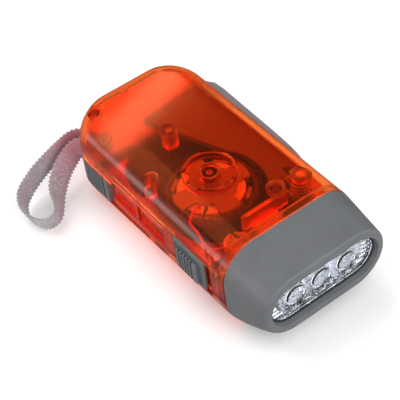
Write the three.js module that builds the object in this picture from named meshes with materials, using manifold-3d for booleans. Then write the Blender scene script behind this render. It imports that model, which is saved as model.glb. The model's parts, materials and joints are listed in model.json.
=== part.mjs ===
// Hand-press dynamo torch. Millimetres, +X along the beam, +Z up through the clear top shell,
// origin at the middle of the flat underside. The squeeze lever is on the +Y side, shown closed.
import * as THREE from 'three';
import * as BufferGeometryUtils from 'three/addons/utils/BufferGeometryUtils.js';
import Module from 'manifold-3d';

const wasm = await Module();
wasm.setup();

// Casing
const bodyLength = 107;
const bodyWidth = 50.2;
const bodyHeight = 33.2;
const edgeRadius = 12;
const rearBottomRadius = 7.8;
const rearCornerRadius = 13;
const rearEdgeRadius = 7.4;
const rearCrown = 1;
const wall = 2;
const partingZ = 11.5;
const bezelLength = 18;
const rimHalfWidth = 23.3;
const rimHalfHeight = 11.6;
const rimTopDrop = 2.2;
const rimRound = 1;
const rimRoundMiddleShare = 0.3;
const lipWidth = 3.1;
const lipHeight = 4.05;
const lipDepth = 2;
const lipFlare = 0.7;
const spigotLength = 4;
const spigotWall = 1.5;
const overrun = 1;

// Clearances
const fitGap = 0.3;
const runningGap = 0.15;
const meshBacklash = 0.3;

// Light unit
const ledPitch = 10;
const ledRadius = 2.5;
const ledFlangeRadius = 2.9;
const ledFlangeDepth = 1;
const ledBarrelLength = 6.1;
const bowlRadius = 7.3;
const bowlDepth = 9.5;
const lensThickness = 1.5;
const lensSeat = 1;
const reflectorDepth = 11;
const reflectorPostRadius = 1.2;
const boardThickness = 1.4;
const boardHalfWidth = 17;
const boardHalfHeight = 7.8;
const boardToLed = 0.4;
const reflectorToBoard = 3.7;
const fluteDepth = 0.5;
const fluteWidth = 0.9;
const fluteRows = 5;
const fluteStartShare = 0.85;

// Gear train: the lever's toothed sector, ratchet pinion, drive wheel, idler, flywheel pinion
const gearModule = 0.8;
const pinionTeeth = 12;
const wheelTeeth = 40;
const idlerTeeth = 14;
const flywheelTeeth = 12;
const sectorSpareTeeth = 1;
const pressureAngleDegrees = 20;
const addendumShare = 0.88;
const dedendumShare = 1.25;
const gearFace = 2.8;
const sectorZ = 8.2;
const wheelZ = 12;
const pivotX = 22.9;
const pivotY = 16.1;
const wheelX = -21.1;
const wheelY = -2.9;
const flywheelX = 3;
const flywheelY = -4.4;
const leverOpenDegrees = 20;
const leverPinRadius = 1.5;
const gearAxleRadius = 1;
const rotorAxleRadius = 1.25;
const axleFootZ = 2.3;
const bossWall = 1.5;
const axleColumnLength = 6.4;

// Generator
const flywheelSideGap = 2.1;
const flywheelRimWall = 1.2;
const flywheelDiscZ = 16;
const flywheelDiscThickness = 1.4;
const flywheelRimTopZ = 24;
const flywheelHubRadius = 3.4;
const flywheelHubRise = 0.8;
const magnetWall = 1.6;
const magnetHeight = 5.6;
const airGap = 0.6;
const clawThickness = 0.9;
const clawLength = 4.2;
const clawWidth = 7.6;
const clawNeckShare = 0.8;
const clawTipShare = 0.7;
const clawTipDepth = 1.35;
const clawTurnDegrees = -6;
const clawPlateBottomZ = 18.9;
const clawPlateTopZ = 24.8;
const statorCoreRadius = 2.6;
const bobbinToClaw = 1.9;
const bobbinFlange = 0.6;
const bobbinTubeWall = 0.6;
const windingToFlange = 0.6;
const ringBossToClaw = 3.7;
const ringBossWall = 1;
const ringBossLength = 2;
const rotorBearingRadius = 2.4;
const rotorBearingLength = 2;
const bearingSocketWall = 0.9;
const bearingSocketLength = 2;

// Lever
const leverTopZ = 22.3;
const leverSkin = 2;
const gripWall = 2.2;
const gripStandOut = 3.3;
const leverBossRadius = 4.2;
const neckRadius = 12.8;
const leverTailRadius = 65.6;
const leverTopReach = 3;
const leverTailReach = -1.8;
const leverBendReach = 9.9;
const leverBendBack = 12;
const neckSink = 0.67;
const leverBottomReach = 13.5;
const sectorBandWidth = 6.4;
const slotEndX = 14.4;
const slotTailX = -42.9;
const slotMargin = 0.8;
const springRadius = 3.3;
const springWire = 0.9;
const springPitch = 1.4;
const springTurns = 3.75;
const springLegLength = 6.6;
const springStepsPerTurn = 8;
const springSides = 5;

// Lock latch on the rear left corner
const latchFrontX = -28.6;
const latchRearX = -45.5;
const latchBottomZ = 7.4;
const latchTopZ = 17.4;
const latchProud = 0.25;
const latchTravel = 2.5;
const latchGrooveWidth = 0.5;
const latchGroovePitch = 1.5;
const latchGrooveDepth = 0.5;
const latchGrooves = 8;
const latchStopGroove = 1.1;
const latchBarWidth = 2;
const latchBarX = -42.4;
const latchBarBottomZ = 7.4;
const latchBarHeight = 3.2;
const latchHookX = -46.3;
const latchHookY = 14.7;
const latchHookRun = 6;
const latchBarBendY = 4;
const latchHookGap = 0.7;
const catchDepth = 3;
const catchWall = 2.2;

// Slide switch on the left side
const switchPlateRearX = 9.6;
const switchPlateLength = 15.8;
const switchPlateBottomZ = 10;
const switchPlateTopZ = 22.6;
const switchPlateSink = 0.2;
const switchPocketDepth = 1.3;
const switchTravel = 3;
const switchKnobInset = 2.9;
const switchKnobLength = 9.2;
const switchKnobBottomZ = 11;
const switchKnobHeight = 8.8;
const switchKnobProud = 1.2;
const switchGrooves = 5;
const switchGroovePitch = 1.6;
const switchGrooveWidth = 0.75;
const switchGrooveDepth = 0.9;
const switchStemX = 18;
const switchStemLength = 2.4;
const switchStemBottomZ = 13;
const switchStemHeight = 3.4;
const switchBodyRearX = 16.6;
const switchBodyLength = 8.6;
const switchBodyBottomZ = 11;
const switchBodyHeight = 8.4;
const switchBodyDepth = 4.6;

// Recessed panes in the left side, with the rail along the parting line between them
const paneRearX = -26;
const paneFrontX = 4;
const paneDividerX = -11.5;
const paneDividerWidth = 1.4;
const paneDepth = 1.1;
const paneTopZ = 20.8;
const railTopZ = 13;
const railBottomZ = 10;
const paneBottomZ = 6.6;

// Screws and the bosses that they join
const screwRadius = 1.1;
const screwHeadRadius = 2.3;
const screwHeadHeight = 1.6;
const screwSeatZ = 5;
const screwTipZ = 22;
const screwFootRadius = 3.5;
const screwNeckRadius = 1.9;
const screwCollarRadius = 2.9;
const screwCollarLength = 2;
const screwRimShare = 0.6;
const screwFootTopZ = 6.6;
const sideScrewX = -8.5;
const sideScrewY = -19.6;
const strapScrewX = -45.9;
const strapScrewY = -15.6;
const frontScrewX = 22.2;
const frontScrewY = 6.7;

// Rib that hangs from the roof over the rechargeable cell
const roofRibX = 25.75;
const roofRibWidth = 1.5;
const roofRibRearY = -8.8;
const roofRibFrontY = 7.5;
const roofRibDepth = 5.2;

// Rechargeable cell, its cradle, and the board parts
const cellRadius = 4.5;
const cellBoardGap = 3.7;
const cellRearY = -6.5;
const cellLength = 10.8;
const cradleWall = 1.4;
const cradleInsetY = 1.8;
const capacitorRadius = 4.2;
const capacitorBoardGap = 4.2;
const capacitorY = -11.4;
const capacitorSeatZ = 9;
const capacitorHeight = 12.7;
const bridgeLength = 8;
const bridgeHeight = 5;
const bridgeDepth = 1.6;
const bridgeY = 11;
const leadRadius = 0.5;
const leadSides = 5;
const leadSteps = 16;
const leadSpreadDegrees = 7;
const coilLeadShare = 0.6;
const switchLeadShare = 0.8;

// Wrist strap: a flat webbing loop round the rear left screw post
const strapWidth = 8;
const strapThickness = 1.2;
const strapSlotDegrees = 216;
const strapSlotWidth = 8.6;
const strapSlotBottomZ = 12;
const strapSlotTopZ = 21.2;
const strapSteps = 64;

// Facets
const cornerSteps = 5;
const rearSteps = 6;
const rodSides = 16;
const discSides = 36;
const bowlSides = 20;
const bowlSteps = 4;
const sweepSteps = 20;
const bandSteps = 4;
const domeSteps = 4;

// Places that follow from the sizes above
const frontX = bodyLength / 2;
const rearX = -bodyLength / 2;
const jointX = frontX - bezelLength;
const sideY = bodyWidth / 2;
const innerY = sideY - wall;
const roofZ = bodyHeight - wall;
const rimCentreZ = bodyHeight - rimTopDrop - rimHalfHeight;
const lensFrontX = frontX - lipDepth;
const reflectorFrontX = lensFrontX - lensThickness - fitGap;
const reflectorRearX = reflectorFrontX - reflectorDepth;
const openHalfWidth = rimHalfWidth - lipWidth;
const openHalfHeight = rimHalfHeight - lipHeight;
const boardFrontX = reflectorRearX - reflectorToBoard;
const boardRearX = boardFrontX - boardThickness;
const plateFaceY = -sideY;
const flywheelRadius = innerY + flywheelY - flywheelSideGap;
const clawRadius = flywheelRadius - flywheelRimWall - fitGap - magnetWall - airGap;
const bobbinRadius = clawRadius - bobbinToClaw;
const windingRadius = bobbinRadius - windingToFlange;
const ringBossRadius = clawRadius - ringBossToClaw;
const roofRibBottomZ = roofZ - roofRibDepth;
const cellX = boardRearX - cellBoardGap - cellRadius;
const cellZ = roofRibBottomZ - fitGap - cellRadius;
const capacitorX = boardRearX - capacitorBoardGap - capacitorRadius;
const openAngle = THREE.MathUtils.degToRad(leverOpenDegrees);
const pivot = new THREE.Vector2(pivotX, pivotY);
const wheelCentre = new THREE.Vector2(wheelX, wheelY);
const flywheelCentre = new THREE.Vector2(flywheelX, flywheelY);
const rearCorner = new THREE.Vector2(rearX + rearCornerRadius, rearCornerRadius - sideY);
const strapSlotTurn = THREE.MathUtils.degToRad(strapSlotDegrees);
const strapSlotAlong = new THREE.Vector2(Math.cos(strapSlotTurn), Math.sin(strapSlotTurn));
const screwPlaces = [[sideScrewX, sideScrewY], [strapScrewX, strapScrewY], [frontScrewX, frontScrewY]];

// Colours seen in the photograph
const finish = (color, roughness, metalness, opacity = 1) => new THREE.MeshStandardMaterial({
  color, roughness, metalness, opacity, transparent: opacity < 1,
});
const redShell = finish(0xf24718, 0.15, 0, 0.55);
const greyPlastic = finish(0x73767a, 0.5, 0);
const blackPlastic = finish(0x17181a, 0.5, 0);
const whitePlastic = finish(0xe8e6e0, 0.45, 0);
const clearPlastic = finish(0xf2f6f8, 0.05, 0, 0.3);
const chromePlastic = finish(0xd9dcde, 0.08, 1);
const steel = finish(0xb9bcc0, 0.3, 1);
const copper = finish(0xb5622e, 0.35, 1);
const ferrite = finish(0x3a3a3d, 0.6, 0.3);
const boardGreen = finish(0xe4e2d8, 0.6, 0);
const cellSleeve = finish(0xdfe3e0, 0.35, 0);
const redWire = finish(0xc22a1c, 0.5, 0);
const blackWire = finish(0x222222, 0.5, 0);
const webbing = finish(0x8f8790, 0.9, 0);

// A closed three.js geometry as a solid, turned so that its faces point out
function solid(geometry) {
  const bare = geometry.index ? geometry.toNonIndexed() : geometry.clone();
  bare.deleteAttribute('normal');
  bare.deleteAttribute('uv');
  const merged = BufferGeometryUtils.mergeVertices(bare);
  const points = merged.attributes.position.array;
  const faces = Array.from(merged.index.array);
  const corner = (index) => new THREE.Vector3().fromArray(points, index * 3);
  const used = [];
  let volume = 0;
  for (let i = 0; i < faces.length; i += 3) {
    const [a, b, c] = faces.slice(i, i + 3);
    if (a === b || b === c || a === c) continue;
    used.push([a, b, c]);
    volume += corner(a).dot(corner(b).cross(corner(c)));
  }
  const ordered = volume < 0 ? used.map(([a, b, c]) => [a, c, b]) : used;
  return new wasm.Manifold(new wasm.Mesh({
    numProp: 3,
    vertProperties: new Float32Array(points),
    triVerts: new Uint32Array(ordered.flat()),
  }));
}

const join = (first, ...rest) => rest.reduce((sum, piece) => sum.add(piece), first);
const cut = (first, ...rest) => rest.reduce((left, piece) => left.subtract(piece), first);
const common = (first, second) => first.intersect(second);

// A box between two corners
function slab(x0, x1, y0, y1, z0, z1) {
  const box = new THREE.BoxGeometry(x1 - x0, y1 - y0, z1 - z0);
  return solid(box.translate((x0 + x1) / 2, (y0 + y1) / 2, (z0 + z1) / 2));
}

// Round bars standing along Z, and lying along X or Y
function rod(radius, z0, z1, x, y, sides = rodSides) {
  const bar = new THREE.CylinderGeometry(radius, radius, z1 - z0, sides).rotateX(Math.PI / 2);
  return solid(bar.translate(x, y, (z0 + z1) / 2));
}
function rodX(radius, x0, x1, y, z, sides = rodSides) {
  const bar = new THREE.CylinderGeometry(radius, radius, x1 - x0, sides).rotateZ(Math.PI / 2);
  return solid(bar.translate((x0 + x1) / 2, y, z));
}
function rodY(radius, y0, y1, x, z, sides = rodSides) {
  const bar = new THREE.CylinderGeometry(radius, radius, y1 - y0, sides);
  return solid(bar.translate(x, (y0 + y1) / 2, z));
}

// An outline in the plan view raised between two heights
function prism(outline, z0, z1) {
  const shape = outline.isShape ? outline : new THREE.Shape(outline);
  const raised = new THREE.ExtrudeGeometry(shape, { depth: z1 - z0, bevelEnabled: false });
  return solid(raised.translate(0, 0, z0));
}

// A closed profile of radius and height spun about a vertical axis
function spun(profile, x, y, sides = discSides) {
  const points = profile.map(([radius, height]) => new THREE.Vector2(radius, height));
  const turned = new THREE.LatheGeometry([...points, points[0]], sides).rotateX(Math.PI / 2);
  return solid(turned.translate(x, y, 0));
}
function ringProfile(inner, outer, z0, z1) {
  return [[inner, z0], [outer, z0], [outer, z1], [inner, z1]];
}

// A tube of round section along a list of points
function tube(points, radius, sides, steps) {
  const path = new THREE.CatmullRomCurve3(points);
  const section = new THREE.Shape();
  for (let side = 0; side < sides; side += 1) {
    const angle = (side / sides) * Math.PI * 2;
    const spot = [radius * Math.cos(angle), radius * Math.sin(angle)];
    if (side === 0) section.moveTo(...spot);
    else section.lineTo(...spot);
  }
  return solid(new THREE.ExtrudeGeometry(section, { steps, extrudePath: path, bevelEnabled: false }));
}

// Cross-sections with the same number of points, joined into one skin with flat or crowned ends
function loft(rings) {
  const count = rings[0].length;
  const positions = [];
  const indices = [];
  rings.forEach((ring) => ring.forEach((point) => positions.push(point.x, point.y, point.z)));
  for (let row = 0; row + 1 < rings.length; row += 1) {
    for (let i = 0; i < count; i += 1) {
      const next = (i + 1) % count;
      const a = row * count + i;
      const b = row * count + next;
      indices.push(a, b, b + count, a, b + count, a + count);
    }
  }
  [0, rings.length - 1].forEach((row) => {
    const ring = rings[row];
    const centre = ring.reduce((sum, point) => sum.add(point), new THREE.Vector3()).divideScalar(count);
    const reach = row === 0 ? centre.x : Math.min(...ring.map((point) => point.x), centre.x);
    const hub = positions.length / 3;
    positions.push(reach, centre.y, centre.z);
    for (let i = 0; i < count; i += 1) {
      const a = row * count + i;
      const b = row * count + ((i + 1) % count);
      indices.push(...(row === 0 ? [a, hub, b] : [a, b, hub]));
    }
  });
  const skin = new THREE.BufferGeometry();
  skin.setAttribute('position', new THREE.Float32BufferAttribute(positions, 3));
  skin.setIndex(indices);
  return solid(skin);
}

// A rounded rectangle across the beam
function sectionRing(x, halfWidth, bottom, top, topRadius, bottomRadius = topRadius, crown = 0) {
  const ring = [];
  const signs = [[1, 1], [-1, 1], [-1, -1], [1, -1]];
  signs.forEach(([signY, signZ], quarter) => {
    const radius = signZ > 0 ? topRadius : bottomRadius;
    for (let step = 0; step <= cornerSteps; step += 1) {
      const angle = ((quarter + step / cornerSteps) * Math.PI) / 2;
      const y = signY * (halfWidth - radius) + radius * Math.cos(angle);
      const z = (top + bottom) / 2 + signZ * ((top - bottom) / 2 - radius) + radius * Math.sin(angle);
      ring.push(new THREE.Vector3(x + crown * (y / sideY) ** 2, y, z));
    }
  });
  return ring;
}

// The casing's form, drawn in from its outer surface by the given depth
function casingForm(inset, fromX = jointX) {
  const corner = rearCornerRadius - inset;
  const edge = rearEdgeRadius - inset;
  const radius = edgeRadius - inset;
  const rings = [sectionRing(fromX, sideY - inset, inset, bodyHeight - inset, radius)];
  for (let step = 0; step <= rearSteps; step += 1) {
    const turn = ((step / rearSteps) * Math.PI) / 2;
    const depth = corner * (1 - Math.sin(turn));
    const narrowing = corner * (1 - Math.cos(turn));
    const lowering = depth < edge ? edge - Math.sqrt(edge ** 2 - (edge - depth) ** 2) : 0;
    const x = rearX + inset + depth;
    const crown = rearCrown * Math.sin(turn);
    rings.push(sectionRing(
      x,
      sideY - inset - narrowing,
      inset + lowering,
      bodyHeight - inset - lowering,
      radius - lowering,
      rearBottomRadius - inset - lowering,
      crown,
    ));
  }
  return loft(rings);
}

// The bezel's form at a share of its length in front of the casing
const bottomSweepPower = 1.5;
function bezelRing(share, inset) {
  const blend = (from, to, power) => from + (to - from) * share ** power;
  const bottom = blend(0, rimCentreZ - rimHalfHeight, bottomSweepPower);
  const top = blend(bodyHeight, rimCentreZ + rimHalfHeight, 1);
  const halfWidth = blend(sideY, rimHalfWidth, 1);
  const radius = Math.min(blend(edgeRadius, rimHalfHeight, 1), (top - bottom) / 2);
  return sectionRing(
    jointX + share * bezelLength,
    halfWidth - inset,
    bottom + inset,
    top - inset,
    radius - inset,
  );
}
function stadiumX(halfWidth, halfHeight, x0, x1, flare = 0) {
  return loft([
    sectionRing(x0, halfWidth, rimCentreZ - halfHeight, rimCentreZ + halfHeight, halfHeight),
    sectionRing(
      x1,
      halfWidth + flare,
      rimCentreZ - halfHeight - flare,
      rimCentreZ + halfHeight + flare,
      halfHeight + flare,
    ),
  ]);
}

// Gears: involute teeth, with the root, the pitch point and the tip of each flank
const pitchRadius = (teeth) => (gearModule * teeth) / 2;
const pressureAngle = THREE.MathUtils.degToRad(pressureAngleDegrees);
const involute = (angle) => Math.tan(angle) - angle;
function toothHalfAngle(pitch, radius) {
  const base = pitch * Math.cos(pressureAngle);
  const here = radius <= base ? 0 : Math.acos(base / radius);
  const thickness = (Math.PI * gearModule - meshBacklash) / 2;
  return thickness / (2 * pitch) + involute(pressureAngle) - involute(here);
}
function toothPoints(pitch, middle) {
  const radii = [
    pitch - dedendumShare * gearModule,
    pitch,
    pitch + addendumShare * gearModule,
  ];
  const flank = (sign, radius) => {
    const angle = middle + sign * toothHalfAngle(pitch, radius);
    return new THREE.Vector2(radius * Math.cos(angle), radius * Math.sin(angle));
  };
  return [...radii.map((radius) => flank(-1, radius)), ...radii.reverse().map((radius) => flank(1, radius))];
}
function gear(teeth, phase, z0, z1) {
  const outline = [];
  for (let tooth = 0; tooth < teeth; tooth += 1) {
    outline.push(...toothPoints(pitchRadius(teeth), phase + (tooth * 2 * Math.PI) / teeth));
  }
  return prism(outline, z0, z1);
}

// The phase that a follower needs so that its gap meets the leader's tooth, seen along the line of centres
function meshedPhase(leaderTeeth, leaderPhase, direction, followerTeeth) {
  const leaderTurn = ((direction - leaderPhase) * leaderTeeth) / (2 * Math.PI);
  const followerTurn = 0.5 - leaderTurn;
  return direction + Math.PI - (followerTurn * 2 * Math.PI) / followerTeeth;
}
const directionTo = (from, to) => Math.atan2(to.y - from.y, to.x - from.x);

const sectorPitch = pivot.distanceTo(wheelCentre) - pitchRadius(pinionTeeth);
const sectorTeethAround = (2 * sectorPitch) / gearModule;
const sectorToWheel = directionTo(pivot, wheelCentre) + 2 * Math.PI;
const pinionPhase = meshedPhase(sectorTeethAround, sectorToWheel, sectorToWheel, pinionTeeth);

// The idler stands where its two distances cross, on the lever's side
const wheelToIdler = pitchRadius(wheelTeeth) + pitchRadius(idlerTeeth);
const idlerToFlywheel = pitchRadius(idlerTeeth) + pitchRadius(flywheelTeeth);
const wheelToFlywheel = wheelCentre.distanceTo(flywheelCentre);
const idlerSwing = Math.acos(
  (wheelToIdler ** 2 + wheelToFlywheel ** 2 - idlerToFlywheel ** 2) / (2 * wheelToIdler * wheelToFlywheel),
);
const idlerDirection = directionTo(wheelCentre, flywheelCentre) + idlerSwing;
const idlerCentre = new THREE.Vector2(wheelToIdler, 0)
  .rotateAround(new THREE.Vector2(), idlerDirection)
  .add(wheelCentre);
const idlerPhase = meshedPhase(wheelTeeth, 0, directionTo(wheelCentre, idlerCentre), idlerTeeth);
const flywheelPhase = meshedPhase(
  idlerTeeth,
  idlerPhase,
  directionTo(idlerCentre, flywheelCentre),
  flywheelTeeth,
);

// A point at a radius and angle from the lever's pivot
function fromPivot(radius, angle) {
  return new THREE.Vector2(pivotX + radius * Math.cos(angle), pivotY + radius * Math.sin(angle));
}

// An open line of points thickened into a closed outline
function strip(points, width) {
  const sides = [[], []];
  points.forEach((point, i) => {
    const before = points[Math.max(i - 1, 0)];
    const after = points[Math.min(i + 1, points.length - 1)];
    const along = after.clone().sub(before).normalize();
    const across = new THREE.Vector2(-along.y, along.x).multiplyScalar(width / 2);
    sides[0].push(point.clone().add(across));
    sides[1].push(point.clone().sub(across));
  });
  return [...sides[0], ...sides[1].reverse()];
}

// Bosses that the shells grow for pins, axles and screws
const axlePlaces = [
  { x: pivotX, y: pivotY, radius: leverPinRadius, floorTop: sectorZ - fitGap },
  { x: wheelX, y: wheelY, radius: gearAxleRadius, floorTop: sectorZ - fitGap },
  { x: flywheelX, y: flywheelY, radius: rotorAxleRadius, floorTop: wheelZ - fitGap },
  { x: idlerCentre.x, y: idlerCentre.y, radius: gearAxleRadius, floorTop: wheelZ - fitGap },
];
const gearTop = wheelZ + gearFace;
const springTopZ = leverTopZ + fitGap + springTurns * springPitch + springWire;
const pivotRingZ = springTopZ + fitGap;
const columnBottomZ = roofZ - axleColumnLength;
const pinTopZ = roofZ - 2 * fitGap;

// Cuts shared by the two shells
function shellOpenings() {
  const paneFloorY = -(sideY - paneDepth);
  const outside = -(sideY + overrun);
  const halfDivider = paneDividerWidth / 2;
  const pocketRearX = switchPlateRearX - fitGap;
  const pocketFrontX = switchPlateRearX + switchPlateLength + switchTravel + fitGap;
  const pocketFloorY = plateFaceY + switchPocketDepth;
  return [
    slab(
      slotTailX,
      slotEndX,
      innerY - 2 * wall,
      sideY + overrun,
      sectorZ - slotMargin,
      leverTopZ + slotMargin,
    ),
    slab(
      latchRearX - fitGap,
      latchFrontX + latchTravel + fitGap,
      outside,
      -(sideY - rearCornerRadius / 2),
      latchBottomZ - fitGap,
      latchTopZ + fitGap,
    ),
    prism(strip([
      rearCorner.clone().addScaledVector(strapSlotAlong, rearCornerRadius / 2),
      rearCorner.clone().addScaledVector(strapSlotAlong, rearCornerRadius + 2 * wall),
    ], strapSlotWidth), strapSlotBottomZ, strapSlotTopZ),
    slab(paneRearX, paneDividerX - halfDivider, outside, paneFloorY, railTopZ, paneTopZ),
    slab(paneDividerX + halfDivider, paneFrontX, outside, paneFloorY, railTopZ, paneTopZ),
    slab(paneRearX, paneFrontX, outside, paneFloorY, paneBottomZ, railBottomZ),
    slab(
      pocketRearX,
      pocketFrontX,
      outside,
      pocketFloorY,
      switchPlateBottomZ - fitGap,
      switchPlateTopZ + fitGap,
    ),
    slab(
      switchStemX - fitGap,
      switchStemX + switchStemLength + switchTravel + fitGap,
      outside,
      -innerY + wall / 2,
      switchStemBottomZ - fitGap,
      switchStemBottomZ + switchStemHeight + fitGap,
    ),
  ];
}

// The step that lets both shells reach into the bezel
function spigot() {
  const rootX = jointX - 2 * wall;
  const inner = wall + fitGap + spigotWall;
  const ring = (inset, x) => sectionRing(x, sideY - inset, inset, bodyHeight - inset, edgeRadius - inset);
  const tipShare = spigotLength / bezelLength;
  const boreShare = (spigotLength + overrun) / bezelLength;
  const root = loft([ring(wall / 2, jointX), ring(wall / 2, rootX)]);
  const outer = wall + fitGap;
  const tip = loft([bezelRing(tipShare, outer), ring(outer, jointX), ring(outer, rootX)]);
  const bore = loft([bezelRing(boreShare, inner), ring(inner, jointX), ring(inner, rootX - overrun)]);
  return cut(join(root, tip), bore);
}

const halfSpace = {
  above: () => slab(-bodyLength, bodyLength, -bodyWidth, bodyWidth, partingZ, 2 * bodyHeight),
  below: () => slab(-bodyLength, bodyLength, -bodyWidth, bodyWidth, -bodyHeight, partingZ),
};

function casing() {
  return join(cut(casingForm(0), casingForm(wall, jointX + overrun)), spigot());
}

// A straight rib with round ends, seen from below the roof as a bar over the cell
function roofRib(rise) {
  const halfWidth = roofRibWidth / 2;
  return join(
    slab(roofRibX - halfWidth, roofRibX + halfWidth, roofRibRearY, roofRibFrontY, roofRibBottomZ, rise),
    rod(halfWidth, roofRibBottomZ, rise, roofRibX, roofRibRearY),
    rod(halfWidth, roofRibBottomZ, rise, roofRibX, roofRibFrontY),
  );
}

function topShell() {
  const rise = roofZ + wall / 2;
  const ringBoss = spun(
    ringProfile(ringBossRadius - ringBossWall, ringBossRadius, roofZ - ringBossLength, rise),
    flywheelX,
    flywheelY,
  );
  const socketRadius = rotorBearingRadius + fitGap;
  const bosses = [
    ringBoss,
    rod(socketRadius + bearingSocketWall, roofZ - bearingSocketLength, rise, flywheelX, flywheelY),
    rod(leverPinRadius + bossWall + fitGap, pivotRingZ, rise, pivotX, pivotY),
    rod(gearAxleRadius + bossWall + fitGap, columnBottomZ, rise, wheelX, wheelY),
    ...screwPlaces.map(([x, y]) => rod(screwNeckRadius, partingZ, rise, x, y)),
    ...screwPlaces.map(([x, y]) => rod(screwCollarRadius, roofZ - screwCollarLength, rise, x, y)),
    roofRib(rise),
  ];
  const holes = [
    rod(socketRadius, 0, roofZ - fitGap, flywheelX, flywheelY),
    rod(leverPinRadius + runningGap, 0, roofZ - fitGap, pivotX, pivotY),
    rod(gearAxleRadius + runningGap, 0, roofZ - fitGap, wheelX, wheelY),
    ...screwPlaces.map(([x, y]) => rod(screwRadius + runningGap, 0, screwTipZ + fitGap, x, y)),
  ];
  const shell = common(casing(), halfSpace.above());
  const inside = common(join(...bosses), casingForm(wall / 2));
  return cut(join(cut(shell, ...shellOpenings()), inside), ...holes);
}

function cellCradle() {
  const ribs = [cellRearY + cradleInsetY, cellRearY + cellLength - cradleInsetY - cradleWall].map((y) => slab(
    cellX - cellRadius,
    cellX + cellRadius,
    y,
    y + cradleWall,
    wall / 2,
    cellZ - cellRadius / 2,
  ));
  const bed = rodY(cellRadius + fitGap, cellRearY, cellRearY + cellLength, cellX, cellZ);
  return cut(join(...ribs), bed);
}

function bottomShell() {
  const sink = wall / 2;
  const shelfRearX = switchBodyRearX;
  const shelfFrontX = switchBodyRearX + switchBodyLength;
  const innerFaceY = -innerY + fitGap;
  const bosses = [
    ...axlePlaces.map(({ x, y, radius, floorTop }) => rod(radius + bossWall, sink, floorTop, x, y)),
    ...screwPlaces.map(([x, y]) => rod(screwFootRadius, 0, screwFootTopZ, x, y)),
    ...screwPlaces.map(([x, y]) => rod(screwNeckRadius, 0, partingZ, x, y)),
    rod(capacitorRadius, sink, capacitorSeatZ, capacitorX, capacitorY),
    cellCradle(),
    slab(
      shelfRearX,
      shelfFrontX,
      -innerY - sink,
      innerFaceY + switchBodyDepth / 2,
      sink,
      switchBodyBottomZ - fitGap,
    ),
  ];
  const holes = [
    ...axlePlaces.map(({ x, y, radius }) => rod(radius + runningGap, wall, partingZ + wall, x, y)),
    ...screwPlaces.map(([x, y]) => rod(screwHeadRadius + fitGap, -overrun, screwSeatZ, x, y)),
    ...screwPlaces.map(([x, y]) => rod(screwRadius + runningGap, 0, partingZ + overrun, x, y)),
  ];
  const shell = common(casing(), halfSpace.below());
  const inside = common(common(join(...bosses), casingForm(0)), halfSpace.below());
  return cut(join(cut(shell, ...shellOpenings()), inside), ...holes);
}

function bezel() {
  const shares = [0, 0.3, 0.6];
  const roundShare = rimRound / bezelLength;
  const rings = [
    ...shares.map((share) => bezelRing(share, 0)),
    bezelRing(1 - roundShare, 0),
    bezelRing(1 - roundShare * rimRoundMiddleShare, rimRound * rimRoundMiddleShare),
    bezelRing(1, rimRound),
  ].reverse();
  const cavityEndShare = 0.5;
  const hollow = loft([
    bezelRing(cavityEndShare, wall),
    bezelRing(cavityEndShare / 2, wall),
    bezelRing(0, wall),
    sectionRing(jointX - overrun, sideY - wall, wall, bodyHeight - wall, edgeRadius - wall),
  ]);
  const cavityFrontX = jointX + (bezelLength * cavityEndShare) / 2;
  const flareSpread = (lipDepth + 2 * overrun) / (lipDepth + overrun);
  return cut(
    loft(rings),
    hollow,
    stadiumX(openHalfWidth + lensSeat, openHalfHeight + lensSeat, cavityFrontX, lensFrontX),
    stadiumX(openHalfWidth, openHalfHeight, lensFrontX - overrun, frontX + overrun, lipFlare * flareSpread),
  );
}

function lens() {
  const margin = lensSeat - fitGap;
  return stadiumX(openHalfWidth + margin, openHalfHeight + margin, lensFrontX - lensThickness, lensFrontX);
}

// One bowl of the reflector: a parabola from the LED's hole to the rim, spun about the beam
function bowl(y) {
  const profile = [];
  for (let step = 0; step <= bowlSteps; step += 1) {
    const share = step / bowlSteps;
    profile.push(new THREE.Vector2(bowlRadius * Math.sqrt(share), bowlDepth * share));
  }
  profile.push(new THREE.Vector2(bowlRadius, bowlDepth + overrun), new THREE.Vector2(0, bowlDepth + overrun));
  const round = new THREE.LatheGeometry(profile, bowlSides).rotateZ(-Math.PI / 2);
  return solid(round.translate(reflectorFrontX - bowlDepth, y, rimCentreZ));
}

function reflector() {
  const halfWidth = openHalfWidth + lensSeat - fitGap;
  const halfHeight = openHalfHeight + lensSeat - fitGap;
  const ledYs = [-ledPitch, 0, ledPitch];
  const blank = stadiumX(halfWidth, halfHeight, reflectorRearX, reflectorFrontX);
  const postY = (ledPitch + boardHalfWidth) / 2 + ledRadius / 2;
  const posts = [-postY, postY].map((y) => rodX(
    reflectorPostRadius,
    boardFrontX + fitGap,
    reflectorRearX + wall,
    y,
    rimCentreZ,
  ));
  const flutes = [];
  const inner = ledPitch + bowlRadius * fluteStartShare;
  const outer = openHalfWidth - fluteDepth;
  for (const [y0, y1] of [[-outer, -inner], [inner, outer]]) {
    for (let row = 0; row < fluteRows; row += 1) {
      const z = rimCentreZ + (row - (fluteRows - 1) / 2) * 2 * fluteWidth;
      const half = fluteWidth / 2;
      flutes.push(slab(reflectorFrontX - 2 * wall, reflectorFrontX + overrun, y0, y1, z - half, z + half));
    }
  }
  const seatFrontX = reflectorFrontX - bowlDepth + wall;
  const seats = ledYs.map((y) => rodX(
    ledFlangeRadius + fitGap,
    reflectorRearX - overrun,
    seatFrontX,
    y,
    rimCentreZ,
  ));
  return cut(join(blank, ...posts), ...ledYs.map(bowl), ...seats, ...flutes);
}

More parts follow.
